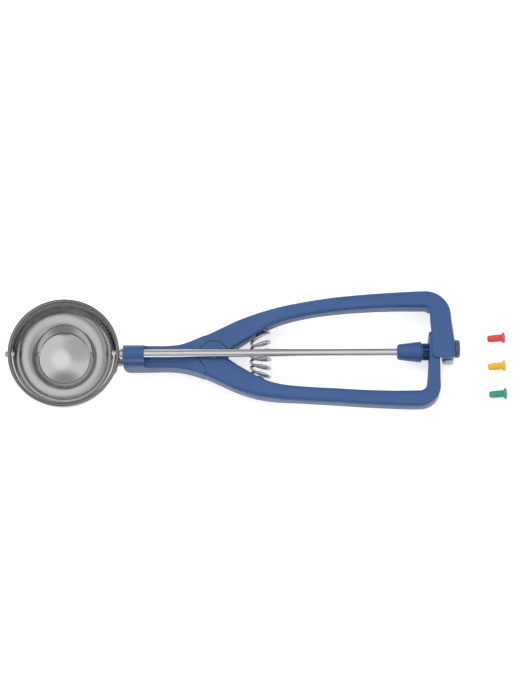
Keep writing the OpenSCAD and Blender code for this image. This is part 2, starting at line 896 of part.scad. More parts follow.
bowl();
bowl_tang();
scraper_blade();
pivot_pin();
shaft_collar();
drive_shaft();
ferrule();
front_bush();
fixed_handle();
tang_rivets();
squeeze_lever();
hinge_pin();
hinge_washer();
hinge_clip();
return_spring();
drive_pinion();
thrust_washer();
shaft_knob();
cross_pin();
rear_bush();
end_cap();
marker_pin_neutral();
marker_pin_red();
marker_pin_yellow();
marker_pin_green();
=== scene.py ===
"""Lever ice cream scoop with its marker pins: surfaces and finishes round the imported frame.

Sizes are in millimetres in the scoop's own frame until place() lays them in the row frame, in
metres. In that frame x runs along the shaft from the bowl's centre to the foot, y towards the fixed
arm and z out of the bowl, with the shaft's axis at y = 0, z = 0.
"""

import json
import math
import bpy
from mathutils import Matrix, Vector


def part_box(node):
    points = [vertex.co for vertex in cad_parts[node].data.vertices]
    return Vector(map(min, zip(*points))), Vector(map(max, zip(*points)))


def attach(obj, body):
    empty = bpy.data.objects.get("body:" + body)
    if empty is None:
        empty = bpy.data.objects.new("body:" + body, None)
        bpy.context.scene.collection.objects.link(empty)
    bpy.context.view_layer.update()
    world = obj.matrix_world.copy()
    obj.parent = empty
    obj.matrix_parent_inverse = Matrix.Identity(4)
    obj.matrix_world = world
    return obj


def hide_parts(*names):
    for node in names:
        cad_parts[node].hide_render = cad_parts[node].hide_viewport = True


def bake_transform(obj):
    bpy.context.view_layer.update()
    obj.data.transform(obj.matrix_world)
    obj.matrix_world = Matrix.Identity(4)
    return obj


bl_info = {
    "name": "Lever ice cream scoop",
    "version": (1, 0, 0),
    "blender": (4, 5, 0),
    "location": "View3D > Sidebar > Scoop",
    "description": "Builds the scoop's bowl, scraper, shaft, handle, spring and pins round its frame",
    "category": "Object",
}

import bmesh
import bpy
import numpy as np
from bpy.props import FloatProperty, FloatVectorProperty, IntProperty, PointerProperty
from mathutils import Matrix, Vector

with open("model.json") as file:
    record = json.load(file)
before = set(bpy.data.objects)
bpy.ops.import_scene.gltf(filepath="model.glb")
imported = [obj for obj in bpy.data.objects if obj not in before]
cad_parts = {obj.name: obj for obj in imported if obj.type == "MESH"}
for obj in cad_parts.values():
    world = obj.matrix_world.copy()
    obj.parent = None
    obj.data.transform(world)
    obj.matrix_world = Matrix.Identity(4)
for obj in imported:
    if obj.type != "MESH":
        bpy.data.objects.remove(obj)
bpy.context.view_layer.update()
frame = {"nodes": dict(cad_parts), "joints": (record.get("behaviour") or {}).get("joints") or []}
JOINTS = {joint["name"]: joint for joint in frame["joints"]}

# The scoop's own frame, read from the shaft's joint
ORIGIN = np.array(JOINTS["shaft_turn"]["pos_m"])
ALONG = np.array(JOINTS["shaft_turn"]["axis"])
SIDE = np.array([0.0, 1.0, 0.0])
BASIS = np.stack([ALONG, SIDE, np.cross(ALONG, SIDE)])
MM = 0.001


def place(points):
    """Row-frame metres of points in the scoop's own frame: turned by the shaft's lie, then moved."""
    return ORIGIN + np.asarray(points, float) * MM @ BASIS


# ---------------------------------------------------------------- sizes, in millimetres

# Hinge, neck and arms. The four lines hold (x behind the hinge, height or distance from the shaft)
HINGE_X = 77.5
HINGE = (HINGE_X, 0, 0)
NECK_LEN = 35.9
NECK_SOFT = 1.2
ARM_LEN = 107.0
ARM_END = ARM_LEN - 1.5
ARM_W = 8.9
GRIP_HALF = 31.0
GRIP_TOP = 7.3
GRIP_UNDER = -2.6
EDGE_R = 2.2
TOP_LINE = [[-NECK_LEN, -5.6], [-17, -5.0], [-7, -2.8], [9, -2.6], [20.5, -1.8], [35.5, 1.8],
            [60.5, 6.6], [76, 7.2], [ARM_LEN + 20, GRIP_TOP]]
UNDER_LINE = [[-NECK_LEN, -16.3], [-17, -15.6], [-1.5, -13.2], [14, -12.5], [26.5, -11.2],
              [45, -5.6], [60.5, -3.4], [76, -2.8], [ARM_LEN + 20, GRIP_UNDER]]
OUTER_LINE = [[-NECK_LEN, 6.0], [-18, 6.5], [-5, 10.6], [14, 19.5], [27, 23.5], [45, 26.5],
              [76, 29.4], [ARM_LEN, GRIP_HALF]]
INNER_LINE = [[7.5, 1.5], [13.9, 5.9], [29.5, 14.9], [45, 18.5], [70, 21.1], [92, 22.1],
              [ARM_LEN, GRIP_HALF - ARM_W]]

# Collar at the front of the neck
COLLAR_LEN = 1.5
COLLAR_RISE = 0.7

# Lap joint: the lever's disc lies on the fixed handle's plate, and both are bored for the pin
LAP_Z = -7.0
LAP_GAP = 0.15
DISC_R = 7.4
DISC_TOP = -2.6
PLATE_BOTTOM = -13.2
HANDLE_BORE_R = 1.92
LEVER_BORE_R = 1.95

# Round seam between the neck and the lever, and the lever's travel in degrees
SEAM_CENTRE = (HINGE_X - 10.9, 8.2)
SEAM_R = 6.55
SEAM_X = SEAM_CENTRE[0] + SEAM_R
SEAM_GAP = 0.15
SEAM_MEET = 3.0
LEVER_FRONT = 6.9
LEVER_ARM_END = 100.5
TRAVEL = 6.0

# Column and foot of the fixed handle
HANDLE_CORNER = (HINGE_X + ARM_LEN + 2.7, 18.1)
ROOF_TOP = 8.5
ROOF_UNDER = 7.2
FOOT_Y = -5.2

# Upright of the lever, its slot and the rack, an arc about the hinge
LEVER_CORNER = (HINGE_X + ARM_LEN - 0.4, 18.0)
RACK_IN_R = 111.7
RACK_PITCH_R = 115.0
RACK_REAR = HINGE_X + ARM_LEN + 10.1
RACK_BOTTOM = -6.6
RACK_TOP = 6.9
RACK_ROOT_Z = -4.8
RACK_TIP_Z = -3.3
RACK_TIP_Y = 9.3
RACK_SOFT = 0.8
SLOT_TOP = 4.9
SLOT_LOW = -17.4
FOOT_REAR = RACK_REAR + 7.9

# Pinion, bush and marker pins
MODULE = 1.0
PRESSURE = math.radians(25)
BACKLASH = 0.14
PINION_R = 4.0
PINION_FRONT = HINGE_X + RACK_IN_R - 3
BUSH_FRONT = RACK_REAR + 1.05
BUSH_REAR = BUSH_FRONT + 0.95
MARKER_X = BUSH_REAR + 2.33
MARKER_Z = 0.3
MARKER_LEN = 8.9
FLANGE_R = 2.8
FLANGE_LEN = 1.2
SHANK_R = 1.88

# Return spring: the middle of its axis, half its length, its outer diameter, and how far its turns
# fan out to either side in degrees
SPRING_X = HINGE_X + 24.5
SPRING_Z = -8.1
SPRING_HALF = 11.0
SPRING_SIZE = 11.6
SPRING_FAN = 25

# Bead on the bowl's rim, over the shell, and the scraper, with its angle at rest in degrees
BEAD_LIFT = 1.3
BEAD_OUT = 0.1
EAR_R = 3.4
BLADE_WALL = 0.7
BLADE_GAP = 0.3
BLADE_REST = 15


class ScoopSizes(bpy.types.PropertyGroup):
    """Sizes of the pieces, in millimetres"""

    bowl_r: FloatProperty(
        name="Bowl radius", description="Outer radius of the bowl's shell, mm",
        default=27.9, min=24, max=34)
    bowl_wall: FloatProperty(
        name="Bowl wall", description="Sheet thickness of the bowl, mm",
        default=0.7, min=0.4, max=1)
    bead_r: FloatProperty(
        name="Bead radius", description="Radius of the rolled bead on the rim, mm",
        default=0.95, min=0.7, max=1.2)
    blade_w: FloatProperty(
        name="Blade width", description="Width of the scraper at its middle, mm",
        default=10.5, min=6, max=14)
    shaft_r: FloatProperty(
        name="Shaft radius", description="Radius of the drive shaft, mm",
        default=2.0, min=1.5, max=2.2)
    wire_d: FloatProperty(
        name="Spring wire", description="Wire diameter of the return spring, mm",
        default=1.5, min=1.2, max=1.6)
    turns: FloatProperty(
        name="Spring turns", description="Number of turns of the return spring",
        default=5.5, min=4.5, max=6)
    teeth: IntProperty(
        name="Pinion teeth", description="Number of teeth on the pinion",
        default=8, min=6, max=12)


class ScoopColours(bpy.types.PropertyGroup):
    """Colours of the finishes"""

    nylon: FloatVectorProperty(
        name="Handle", description="Moulded nylon of handle, lever, ferrule and knob",
        subtype="COLOR", size=3, default=(0.035, 0.100, 0.276))
    dark_nylon: FloatVectorProperty(
        name="Pinion", description="Nylon of the pinion",
        subtype="COLOR", size=3, default=(0.010, 0.048, 0.190))
    cap: FloatVectorProperty(
        name="End cap", description="Cap on the foot",
        subtype="COLOR", size=3, default=(0.075, 0.090, 0.200))
    pale: FloatVectorProperty(
        name="Neutral pin", description="Undyed nylon of the neutral pin and the bushes",
        subtype="COLOR", size=3, default=(0.64, 0.72, 0.74))
    red: FloatVectorProperty(
        name="Red pin", description="Red marker pin",
        subtype="COLOR", size=3, default=(0.80, 0.065, 0.065))
    yellow: FloatVectorProperty(
        name="Yellow pin", description="Yellow marker pin",
        subtype="COLOR", size=3, default=(0.90, 0.54, 0.025))
    green: FloatVectorProperty(
        name="Green pin", description="Green marker pin",
        subtype="COLOR", size=3, default=(0.032, 0.36, 0.190))
    steel: FloatVectorProperty(
        name="Steel", description="Polished stainless steel",
        subtype="COLOR", size=3, default=(0.74, 0.735, 0.73))


class ScoopStage(bpy.types.PropertyGroup):
    """Camera and light"""

    lens: FloatProperty(
        name="Lens", description="Focal length of the camera",
        unit="CAMERA", default=148.9, min=50, max=300)
    distance: FloatProperty(
        name="Distance", description="Camera's distance from what it aims at",
        unit="LENGTH", default=1.5, min=0.5, max=5)
    elevation: FloatProperty(
        name="Elevation", description="Camera's height over the scoop's own level",
        subtype="ANGLE", default=math.radians(73.5), min=math.radians(10), max=math.radians(90))
    roll: FloatProperty(
        name="Roll", description="Turn of the picture",
        subtype="ANGLE", default=math.radians(0.32), min=math.radians(-10), max=math.radians(10))
    level: FloatProperty(
        name="Room light", description="Strength of the soft surrounding light",
        subtype="FACTOR", default=0.78, min=0, max=2)
    key: FloatProperty(
        name="Key light", description="Power of the large softbox",
        unit="POWER", default=8.0, min=0, max=100)
    floor: FloatProperty(
        name="Floor lift", description="White added to the floor where it is seen",
        subtype="FACTOR", default=0.6, min=0, max=1)


def sizes():
    """The sizes that a user may change."""
    return bpy.context.scene.scoop_sizes


def colours():
    """The colours that a user may change."""
    return bpy.context.scene.scoop_colours


def stage():
    """The settings of camera and light."""
    return bpy.context.scene.scoop_stage


# ---------------------------------------------------------------- lines and outlines

def smooth_line(line, x):
    """Height at x of a smooth line through its points: cubic pieces whose slope at each point is
    the slope between its two neighbours."""
    p = np.array(line, float)
    last = len(p) - 1
    before = np.maximum(np.arange(last + 1) - 1, 0)
    after = np.minimum(np.arange(last + 1) + 1, last)
    slope = (p[after, 1] - p[before, 1]) / (p[after, 0] - p[before, 0])
    x = np.asarray(x, float)
    i = np.clip(np.searchsorted(p[:, 0], x, side="right") - 1, 0, last - 1)
    step = p[i + 1, 0] - p[i, 0]
    u = np.clip((x - p[i, 0]) / step, 0, 1)
    v = 1 - u
    return (p[i, 1] * v * v * (1 + 2 * u) + p[i + 1, 1] * u * u * (3 - 2 * u)
            + step * u * v * (slope[i] * v - slope[i + 1] * u))


def ease(u):
    """Zero below 0, one above 1 and a smooth cubic step between."""
    t = np.clip(u, 0, 1)
    return t * t * (3 - 2 * t)


def arc(centre, radius, start, end, count):
    """Points on a circle from a start to an end angle in degrees: centre plus radius times
    (cosine, sine)."""
    turn = np.radians(np.linspace(start, end, count))
    return np.stack([centre[0] + radius * np.cos(turn), centre[1] + radius * np.sin(turn)], axis=1)


def soft_rings(a, b, low, high, soft, steps=9):
    """Rings of a loft, one per row: a rectangle with round corners stands on the line from a to b
    in plan, from height low to high. A corner's point k is its centre plus soft times
    (cos, sin) of 90 degrees times k over steps."""
    a = np.asarray(a, float)
    b = np.asarray(b, float)
    low, high, soft = (np.broadcast_to(v, len(a)).astype(float)[:, None] for v in (low, high, soft))
    width = np.linalg.norm(b - a, axis=1)[:, None]
    turn = np.radians(90 * (np.arange(4)[:, None] + np.linspace(0, 1, steps + 1)[None, :])).ravel()
    sx = np.repeat([1, -1, -1, 1], steps + 1)
    sz = np.repeat([1, 1, -1, -1], steps + 1)
    across = sx * (width / 2 - soft) + soft * np.cos(turn)
    up = sz * ((high - low) / 2 - soft) + soft * np.sin(turn)
    middle = (a + b) / 2
    way = (b - a) / width
    return np.stack([middle[:, :1] + way[:, :1] * across, middle[:, 1:] + way[:, 1:] * across,
                     (low + high) / 2 + up], axis=2)


# ---------------------------------------------------------------- meshes

def grid_faces(rows, columns, close_rows, close_columns):
    """Quads of a grid of points, row by row, closed round either way where asked."""
    i = np.arange(rows if close_rows else rows - 1)
    k = np.arange(columns if close_columns else columns - 1)
    i, k = (v.ravel() for v in np.meshgrid(i, k, indexing="ij"))
    j = (i + 1) % rows
    q = (k + 1) % columns
    return np.stack([i * columns + k, j * columns + k, j * columns + q, i * columns + q], axis=1)


def solid(name, points, faces):
    """A mesh object in the scoop's own frame, doubles merged and faces pointing out."""
    mesh = bpy.data.meshes.new(name)
    mesh.from_pydata(np.asarray(points, float).reshape(-1, 3).tolist(), [], faces)
    work = bmesh.new()
    work.from_mesh(mesh)
    bmesh.ops.remove_doubles(work, verts=work.verts, dist=1e-5)
    bmesh.ops.recalc_face_normals(work, faces=work.faces)
    work.to_mesh(mesh)
    work.free()
    piece = bpy.data.objects.new(name, mesh)
    bpy.context.scene.collection.objects.link(piece)
    return piece


def loft(name, rings, closed=False):
    """The surface through rings of points, each closed round, with flat ends or closed on itself."""
    n, m = rings.shape[:2]
    faces = grid_faces(n, m, closed, True).tolist()
    if not closed:
        faces += [list(range(m))[::-1], list(range((n - 1) * m, n * m))]
    return solid(name, rings, faces)


def lathe(name, profile, centre=(0, 0, 0), axis=0, around=96, closed=False):
    """A profile of (distance along the axis, radius) turned round an axis of the scoop's frame."""
    profile = np.asarray(profile, float)
    turn = np.linspace(0, 2 * np.pi, around, endpoint=False)
    along = np.repeat(profile[:, :1], around, axis=1)
    first = profile[:, 1:] * np.cos(turn)
    second = profile[:, 1:] * np.sin(turn)
    order = {0: (along, first, second), 1: (second, along, first), 2: (first, second, along)}[axis]
    return loft(name, np.stack(order, axis=2) + np.asarray(centre, float), closed)


def block(name, low, high):
    """A closed box between two corners, to cut with."""
    x, y, z = zip(low, high)
    points = [(x[i], y[j], z[k]) for i in (0, 1) for j in (0, 1) for k in (0, 1)]
    faces = [(0, 1, 3, 2), (4, 6, 7, 5), (0, 4, 5, 1), (2, 3, 7, 6), (0, 2, 6, 4), (1, 5, 7, 3)]
    return solid(name, points, faces)


def rod(name, start, end, radius, axis, centre=(0, 0, 0), around=72):
    """A plain round bar, to cut or join with."""
    return lathe(name, [(start, radius), (end, radius)], centre, axis, around)


def bake(piece):
    """The piece's mesh with its modifiers taken in."""
    graph = bpy.context.evaluated_depsgraph_get()
    done = bpy.data.meshes.new_from_object(piece.evaluated_get(graph))
    old = piece.data
    piece.modifiers.clear()
    piece.data = done
    bpy.data.meshes.remove(old)
    return piece


def carve(piece, tools, how="DIFFERENCE"):
    """The piece cut by, joined with or held within each of the tools, which are used up."""
    for tool in tools:
        step = piece.modifiers.new("carve", "BOOLEAN")
        step.operation = how
        step.solver = "EXACT"
        step.object = tool
        bpy.context.view_layer.update()
        bake(piece)
        bpy.data.objects.remove(tool)
    return piece


def chamfer(piece, width, segments, angle):
    """Soft edges where two faces meet at more than the angle, in degrees."""
    step = piece.modifiers.new("soft edges", "BEVEL")
    step.width = width
    step.segments = segments
    step.limit_method = "ANGLE"
    step.angle_limit = math.radians(angle)
    step.use_clamp_overlap = True
    bpy.context.view_layer.update()
    return bake(piece)


def mirror_side(piece):
    """The piece on the other side of the shaft: y becomes minus y, faces turned back outwards."""
    mesh = piece.data
    work = bmesh.new()
    work.from_mesh(mesh)
    bmesh.ops.scale(work, vec=(1, -1, 1), verts=work.verts)
    bmesh.ops.recalc_face_normals(work, faces=work.faces)
    work.to_mesh(mesh)
    work.free()
    return piece


def about_hinge(piece, turn):
    """The piece turned about the hinge's axis by an angle in degrees."""
    move = Matrix.Translation(HINGE)
    back = Matrix.Translation((-HINGE_X, 0, 0))
    piece.data.transform(move @ Matrix.Rotation(math.radians(turn), 4, "Z") @ back)
    return piece


def mesh_points(mesh):
    """The mesh's points, one to a row."""
    points = np.empty(len(mesh.vertices) * 3)
    mesh.vertices.foreach_get("co", points)
    return points.reshape(-1, 3)


def dress(piece, body, nodes, material, sharp=35, local=True):
    """Lays a finished piece in the row frame unless it lies there already, shades it with edges
    sharper than an angle kept, and ties it to its body, nodes and slot. A piece given no body is
    left unattached."""
    mesh = piece.data
    if local:
        mesh.vertices.foreach_set("co", place(mesh_points(mesh)).ravel())
    mesh.shade_smooth()
    mesh.set_sharp_from_angle(angle=math.radians(sharp))
    mesh.update()
    mesh.materials.clear()
    mesh.materials.append(material)
    if body:
        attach(piece, body)
    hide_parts(*nodes)
    return piece


# ---------------------------------------------------------------- nodes of finishes

def feed(tree, port, value):
    """Links a socket to the port, or sets the port to a plain value."""
    if isinstance(value, bpy.types.NodeSocket):
        tree.links.new(value, port)
    else:
        port.default_value = value


def maths(tree, how, a, b):
    """One Math node on two values, each a socket or a number."""
    node = tree.nodes.new("ShaderNodeMath")
    node.operation = how
    feed(tree, node.inputs[0], a)
    feed(tree, node.inputs[1], b)
    return node.outputs["Value"]


def mixed(tree, kind, a, b, share):
    """A mix of two colours (RGBA) or numbers (FLOAT): a at a share of 0, b at a share of 1."""
    node = tree.nodes.new("ShaderNodeMix")
    node.data_type = kind
    feed(tree, node.inputs["A"], a)
    feed(tree, node.inputs["B"], b)
    feed(tree, node.inputs["Factor"], share)
    return node.outputs["Result"]


def step_up(tree, value, start, end):
    """A smooth step from 0 to 1 as the value goes from start to end."""
    node = tree.nodes.new("ShaderNodeMapRange")
    node.interpolation_type = "SMOOTHSTEP"
    node.inputs["From Min"].default_value = start
    node.inputs["From Max"].default_value = end
    tree.links.new(value, node.inputs["Value"])
    return node.outputs["Result"]


def spots(tree, scale, detail=2.0, rough=0.5, stretch=None):
    """Noise on Object coordinates, in features per metre, along each axis on its own where
    `stretch` gives three scales."""
    source = tree.nodes.new("ShaderNodeTexCoord").outputs["Object"]
    if stretch:
        mapping = tree.nodes.new("ShaderNodeMapping")
        mapping.inputs["Scale"].default_value = stretch
        tree.links.new(source, mapping.inputs["Vector"])
        source = mapping.outputs["Vector"]
    noise = tree.nodes.new("ShaderNodeTexNoise")
    noise.inputs["Scale"].default_value = scale
    noise.inputs["Detail"].default_value = detail
    noise.inputs["Roughness"].default_value = rough
    tree.links.new(source, noise.inputs["Vector"])
    return noise.outputs["Fac"]


def spread(tree, value, low, high):
    """Maps noise from its middle range to the range from low to high."""
    step = tree.nodes.new("ShaderNodeMapRange")
    step.inputs["From Min"].default_value = 0.3
    step.inputs["From Max"].default_value = 0.7
    step.inputs["To Min"].default_value = low
    step.inputs["To Max"].default_value = high
    tree.links.new(value, step.inputs["Value"])
    return step.outputs["Result"]


def new_finish(name):
    """A new material that holds one shader: the material, its nodes and the shader."""
    material = bpy.data.materials.new(name)
    material.use_nodes = True
    tree = material.node_tree
    tree.nodes.clear()
    out = tree.nodes.new("ShaderNodeOutputMaterial")
    shader = tree.nodes.new("ShaderNodeBsdfPrincipled")
    tree.links.new(shader.outputs["BSDF"], out.inputs["Surface"])
    return material, tree, shader


def relief(tree, shader, height, strength, distance):
    """Bumps of the surface that follow a height."""
    bump = tree.nodes.new("ShaderNodeBump")
    bump.inputs["Strength"].default_value = strength
    bump.inputs["Distance"].default_value = distance
    tree.links.new(height, bump.inputs["Height"])
    tree.links.new(bump.outputs["Normal"], shader.inputs["Normal"])


def tint(tree, shader, colour, share, value):
    """The colour, darker and lighter by a share as the value goes from 0 to 1."""
    dark = (*[c * (1 - share) for c in colour], 1)
    light = (*[min(c * (1 + share), 1) for c in colour], 1)
    tree.links.new(mixed(tree, "RGBA", dark, light, value), shader.inputs["Base Color"])


def shift(tree, shader, socket, value, share):
    """Mixes what feeds a socket of the shader towards a value, by a share."""
    kind = "RGBA" if socket == "Base Color" else "FLOAT"
    before = shader.inputs[socket].links[0].from_socket
    tree.links.new(mixed(tree, kind, before, value, share), shader.inputs[socket])


# ---------------------------------------------------------------- finishes

# Bands in the bowl's finish, by height over the shaft's axis in metres: name, where it starts and
# where it is full, colour, roughness. The first band's dark colour is a painted dark reflection,
# and the rim band's dark colour is painted shade.
BANDS = (
    # Rougher band low in the bowl, streaked round the axis; its dark colour is a painted dark
    # reflection
    ("dull_painted_reflection", -0.0112, -0.0096, (0.13, 0.127, 0.124, 1), 0.26),
    ("satin", -0.0036, -0.0026, (0.66, 0.65, 0.64, 1), 0.42),
    # Rolled rim, glossy; its dark colour is painted shade along the bead
    ("rim", 0.0006, 0.0012, (0.28, 0.276, 0.272, 1), 0.06),
)


def moulded(name, colour, rough=0.36, glow=0.0):
    """Moulded nylon: a faint mottle, a fine matt grain and softly varied gloss. The glow lets
    light through thin pale pieces."""
    material, tree, shader = new_finish(name)
    shader.inputs["IOR"].default_value = 1.55
    if glow:
        shader.inputs["Subsurface Weight"].default_value = glow
        shader.inputs["Subsurface Radius"].default_value = (0.002, 0.0015, 0.001)
        shader.inputs["Subsurface Scale"].default_value = 1.0
    tint(tree, shader, colour, 0.05, spots(tree, 60, 3))
    gloss = spread(tree, spots(tree, 140, 3), rough - 0.05, rough + 0.06)
    tree.links.new(gloss, shader.inputs["Roughness"])
    relief(tree, shader, spots(tree, 260, 1), 0.03, 0.00005)
    return material


def polished(name, colour, rough, lines, depth=0.08):
    """Polished steel: fine polishing lines, and small changes of gloss where it was wiped."""
    material, tree, shader = new_finish(name)
    shader.inputs["Metallic"].default_value = 1.0
    tint(tree, shader, colour, 0.03, spots(tree, 90, 3))
    gloss = spread(tree, spots(tree, 260, 4, 0.6), rough * 0.8, rough * 1.35)
    tree.links.new(gloss, shader.inputs["Roughness"])
    relief(tree, shader, spots(tree, 1.0, 2, 0.6, stretch=lines), depth, 0.00003)
    return material


def bowl_finish(name, steel, wall):
    """Mirror-polished steel with three bands by height over the shaft's axis. Two are inside only,
    where the distance from the bowl's centre is under the middle of the wall: a rougher band with
    streaks round the axis, whose dark colour is a painted dark reflection, then satin up to the rim.
    The rolled rim is glossy again, and its dark colour is painted shade."""
    material = polished(name, steel, 0.045, (700, 700, 3000), 0.02)
    tree = material.node_tree
    shader = next(node for node in tree.nodes if node.type == "BSDF_PRINCIPLED")
    lay = tree.nodes.new("ShaderNodeMapping")
    lay.vector_type = "TEXTURE"
    lay.inputs["Location"].default_value = tuple(ORIGIN)
    lay.inputs["Rotation"].default_value = Matrix(BASIS.T.tolist()).to_euler()
    tree.links.new(tree.nodes.new("ShaderNodeTexCoord").outputs["Object"], lay.inputs["Vector"])
    split = tree.nodes.new("ShaderNodeSeparateXYZ")
    tree.links.new(lay.outputs["Vector"], split.inputs["Vector"])
    far = tree.nodes.new("ShaderNodeVectorMath")
    far.operation = "LENGTH"
    tree.links.new(lay.outputs["Vector"], far.inputs[0])
    inside = maths(tree, "LESS_THAN", far.outputs["Value"], wall)
    streaks = spread(tree, spots(tree, 1.0, 3, 0.6, stretch=(90, 90, 1300)), 0.5, 1.0)
    # The first band's dark colour is a painted dark reflection, and the rim band's is painted shade
    limits = {"dull_painted_reflection": (inside, streaks), "satin": (inside,), "rim": ()}
    for band, start, full, colour, rough in BANDS:
        share = step_up(tree, split.outputs["Z"], start, full)
        for limit in limits[band]:
            share = maths(tree, "MULTIPLY", share, limit)
        shift(tree, shader, "Base Color", colour, share)
        shift(tree, shader, "Roughness", rough, share)
    return material


def finishes(name):
    """The named finish, made the first time that it is asked for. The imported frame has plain
    materials of its own, so the names here start with "finish"."""
    c = colours()
    steel = tuple(c.steel)
    make = {
        "bowl_steel": (bowl_finish, steel, (sizes().bowl_r - sizes().bowl_wall / 2) * MM),
        "blade_steel": (polished, steel, 0.14, (4000, 300, 300)),
        "rod_steel": (polished, tuple(v * 1.1 for v in steel), 0.16, (300, 5000, 5000)),
        "spring_steel": (polished, tuple(v * 0.86 for v in steel), 0.22, (2500, 2500, 2500)),
        "satin_steel": (polished, tuple(v * 0.7 for v in steel), 0.34, (600, 4000, 4000)),
        "blue_nylon": (moulded, tuple(c.nylon), 0.22),
        "dark_nylon": (moulded, tuple(c.dark_nylon), 0.42),
        "cap_nylon": (moulded, tuple(c.cap), 0.32),
        "pale_nylon": (moulded, tuple(c.pale), 0.34, 0.1),
        "red_nylon": (moulded, tuple(c.red), 0.38, 0.1),
        "yellow_nylon": (moulded, tuple(c.yellow), 0.38, 0.1),
        "green_nylon": (moulded, tuple(c.green), 0.38, 0.1),
    }
    maker, *settings = make[name]
    made = bpy.data.materials.get("finish_" + name)
    return made or maker("finish_" + name, *settings)


# ---------------------------------------------------------------- bowl and scraper

class SCOOP_OT_bowl(bpy.types.Operator):
    """Round steel bowl with a rolled rim"""

    bl_idname = "scoop.bowl"
    bl_label = "Bowl"

    def execute(self, context):
        """Turns a closed profile round z: the outer sphere from its pole up to the shaft's axis, a
        straight wall, round the bead, and down the inner wall and sphere to the pole."""
        s = sizes()
        outer = arc((0, 0), s.bowl_r, 180, 90, 90)
        bead = arc((BEAD_LIFT + s.bead_r, s.bowl_r + BEAD_OUT), s.bead_r, 145, -62, 40)
        inner = arc((0, 0), s.bowl_r - s.bowl_wall, 90, 180, 90)
        piece = lathe("bowl_shell", np.concatenate([outer, bead, inner]), axis=2, around=256)
        dress(piece, "frame", ["bowl"], finishes("bowl_steel"), sharp=50)
        return {"FINISHED"}


def blade_points(across, along, radius, half):
    """Points of the strip at one radius of the shell: its middle runs through the angle `along`
    from ear to ear in the plane y = 0, and `across` goes from edge to edge, times the half width
    at that place."""
    off = across * half
    flat = np.sqrt(radius ** 2 - off ** 2)
    return np.stack([flat * np.cos(along), off, -flat * np.sin(along)], axis=2)


class SCOOP_OT_scraper(bpy.types.Operator):
    """Thin scraper blade that hugs the bowl's inside, with a round ear at each pivot"""

    bl_idname = "scoop.scraper"
    bl_label = "Scraper"

    def execute(self, context):
        """Lofts the strip, whose half width goes from the ear's to the blade's by the cosine of 90
        degrees times the cosine of the angle along it, adds the ears and turns it to its rest."""
        s = sizes()
        outer = s.bowl_r - s.bowl_wall - BLADE_GAP
        inner = outer - BLADE_WALL
        along = np.linspace(0, np.pi, 161)[:, None]
        half = EAR_R + (s.blade_w / 2 - EAR_R) * np.cos(np.pi / 2 * np.cos(along))
        across = np.linspace(-1, 1, 15)[None, :]
        inside = blade_points(across, along, inner, half)
        outside = blade_points(across, along, outer, half)[:, ::-1]
        piece = loft("scraper", np.concatenate([inside, outside], axis=1))
        shell = np.concatenate([arc((0, 0), outer, 0, 14, 16), arc((0, 0), inner, 14, 0, 16)])
        ears = []
        for side in (-1, 1):
            ear = lathe("ear_shell", shell * [side, 1], around=72)
            outline = rod("ear_rod", 10 * side, s.bowl_r * side, EAR_R, 0)
            ears.append(carve(ear, [outline], "INTERSECT"))
        carve(piece, ears, "UNION")
        piece.data.transform(Matrix.Rotation(math.radians(BLADE_REST - 90), 4, "X"))
        dress(piece, "shaft", ["scraper_blade"], finishes("blade_steel"), sharp=40)
        return {"FINISHED"}


# ---------------------------------------------------------------- shaft and ferrule

class SCOOP_OT_shaft(bpy.types.Operator):
    """Steel rod, the collar between bowl and ferrule, and the pivot rivet on the far side"""

    bl_idname = "scoop.shaft"
    bl_label = "Shaft"

    def execute(self, context):
        """Turns the three profiles round the shaft's axis; the first is the rod, with the flat
        head that holds the scraper's ear."""
        s = sizes()
        r = s.shaft_r
        front = 25.2
        rear = BUSH_REAR - 0.05
        profile = [(front - 0.2, 0), (front - 0.2, r), (front, r + 0.4), (front + 0.7, r + 0.4),
                   (front + 0.8, r), (rear - 0.3, r), (rear, r - 0.3), (rear, 0)]
        piece = lathe("drive_rod", profile, around=64)
        dress(piece, "shaft", ["drive_shaft"], finishes("rod_steel"))
        rim = s.bowl_r + BEAD_OUT + s.bead_r
        collar_rear = 30.7
        profile = [(rim + 0.2, r + 0.02), (rim + 0.2, 2.6), (rim + 0.4, 2.9),
                   (collar_rear - 0.2, 2.9), (collar_rear, 2.7), (collar_rear, r + 0.02)]
        piece = lathe("rod_collar", profile, around=64, closed=True)
        dress(piece, "shaft", ["shaft_collar"], finishes("blade_steel"))
        head = -(rim + 0.05)
        profile = [(head - 1.6, 0), (head - 1.6, 0.9), (head - 1.2, 1.5), (head - 0.5, 1.7),
                   (head, 1.7), (head, 1.2), (-25.95, 1.2), (-25.95, 1.7), (-25.6, 1.7),
                   (-25.4, 1.4), (-25.4, 0)]
        piece = lathe("pivot_rivet", profile, around=48)
        dress(piece, "frame", ["pivot_pin"], finishes("blade_steel"))
        return {"FINISHED"}


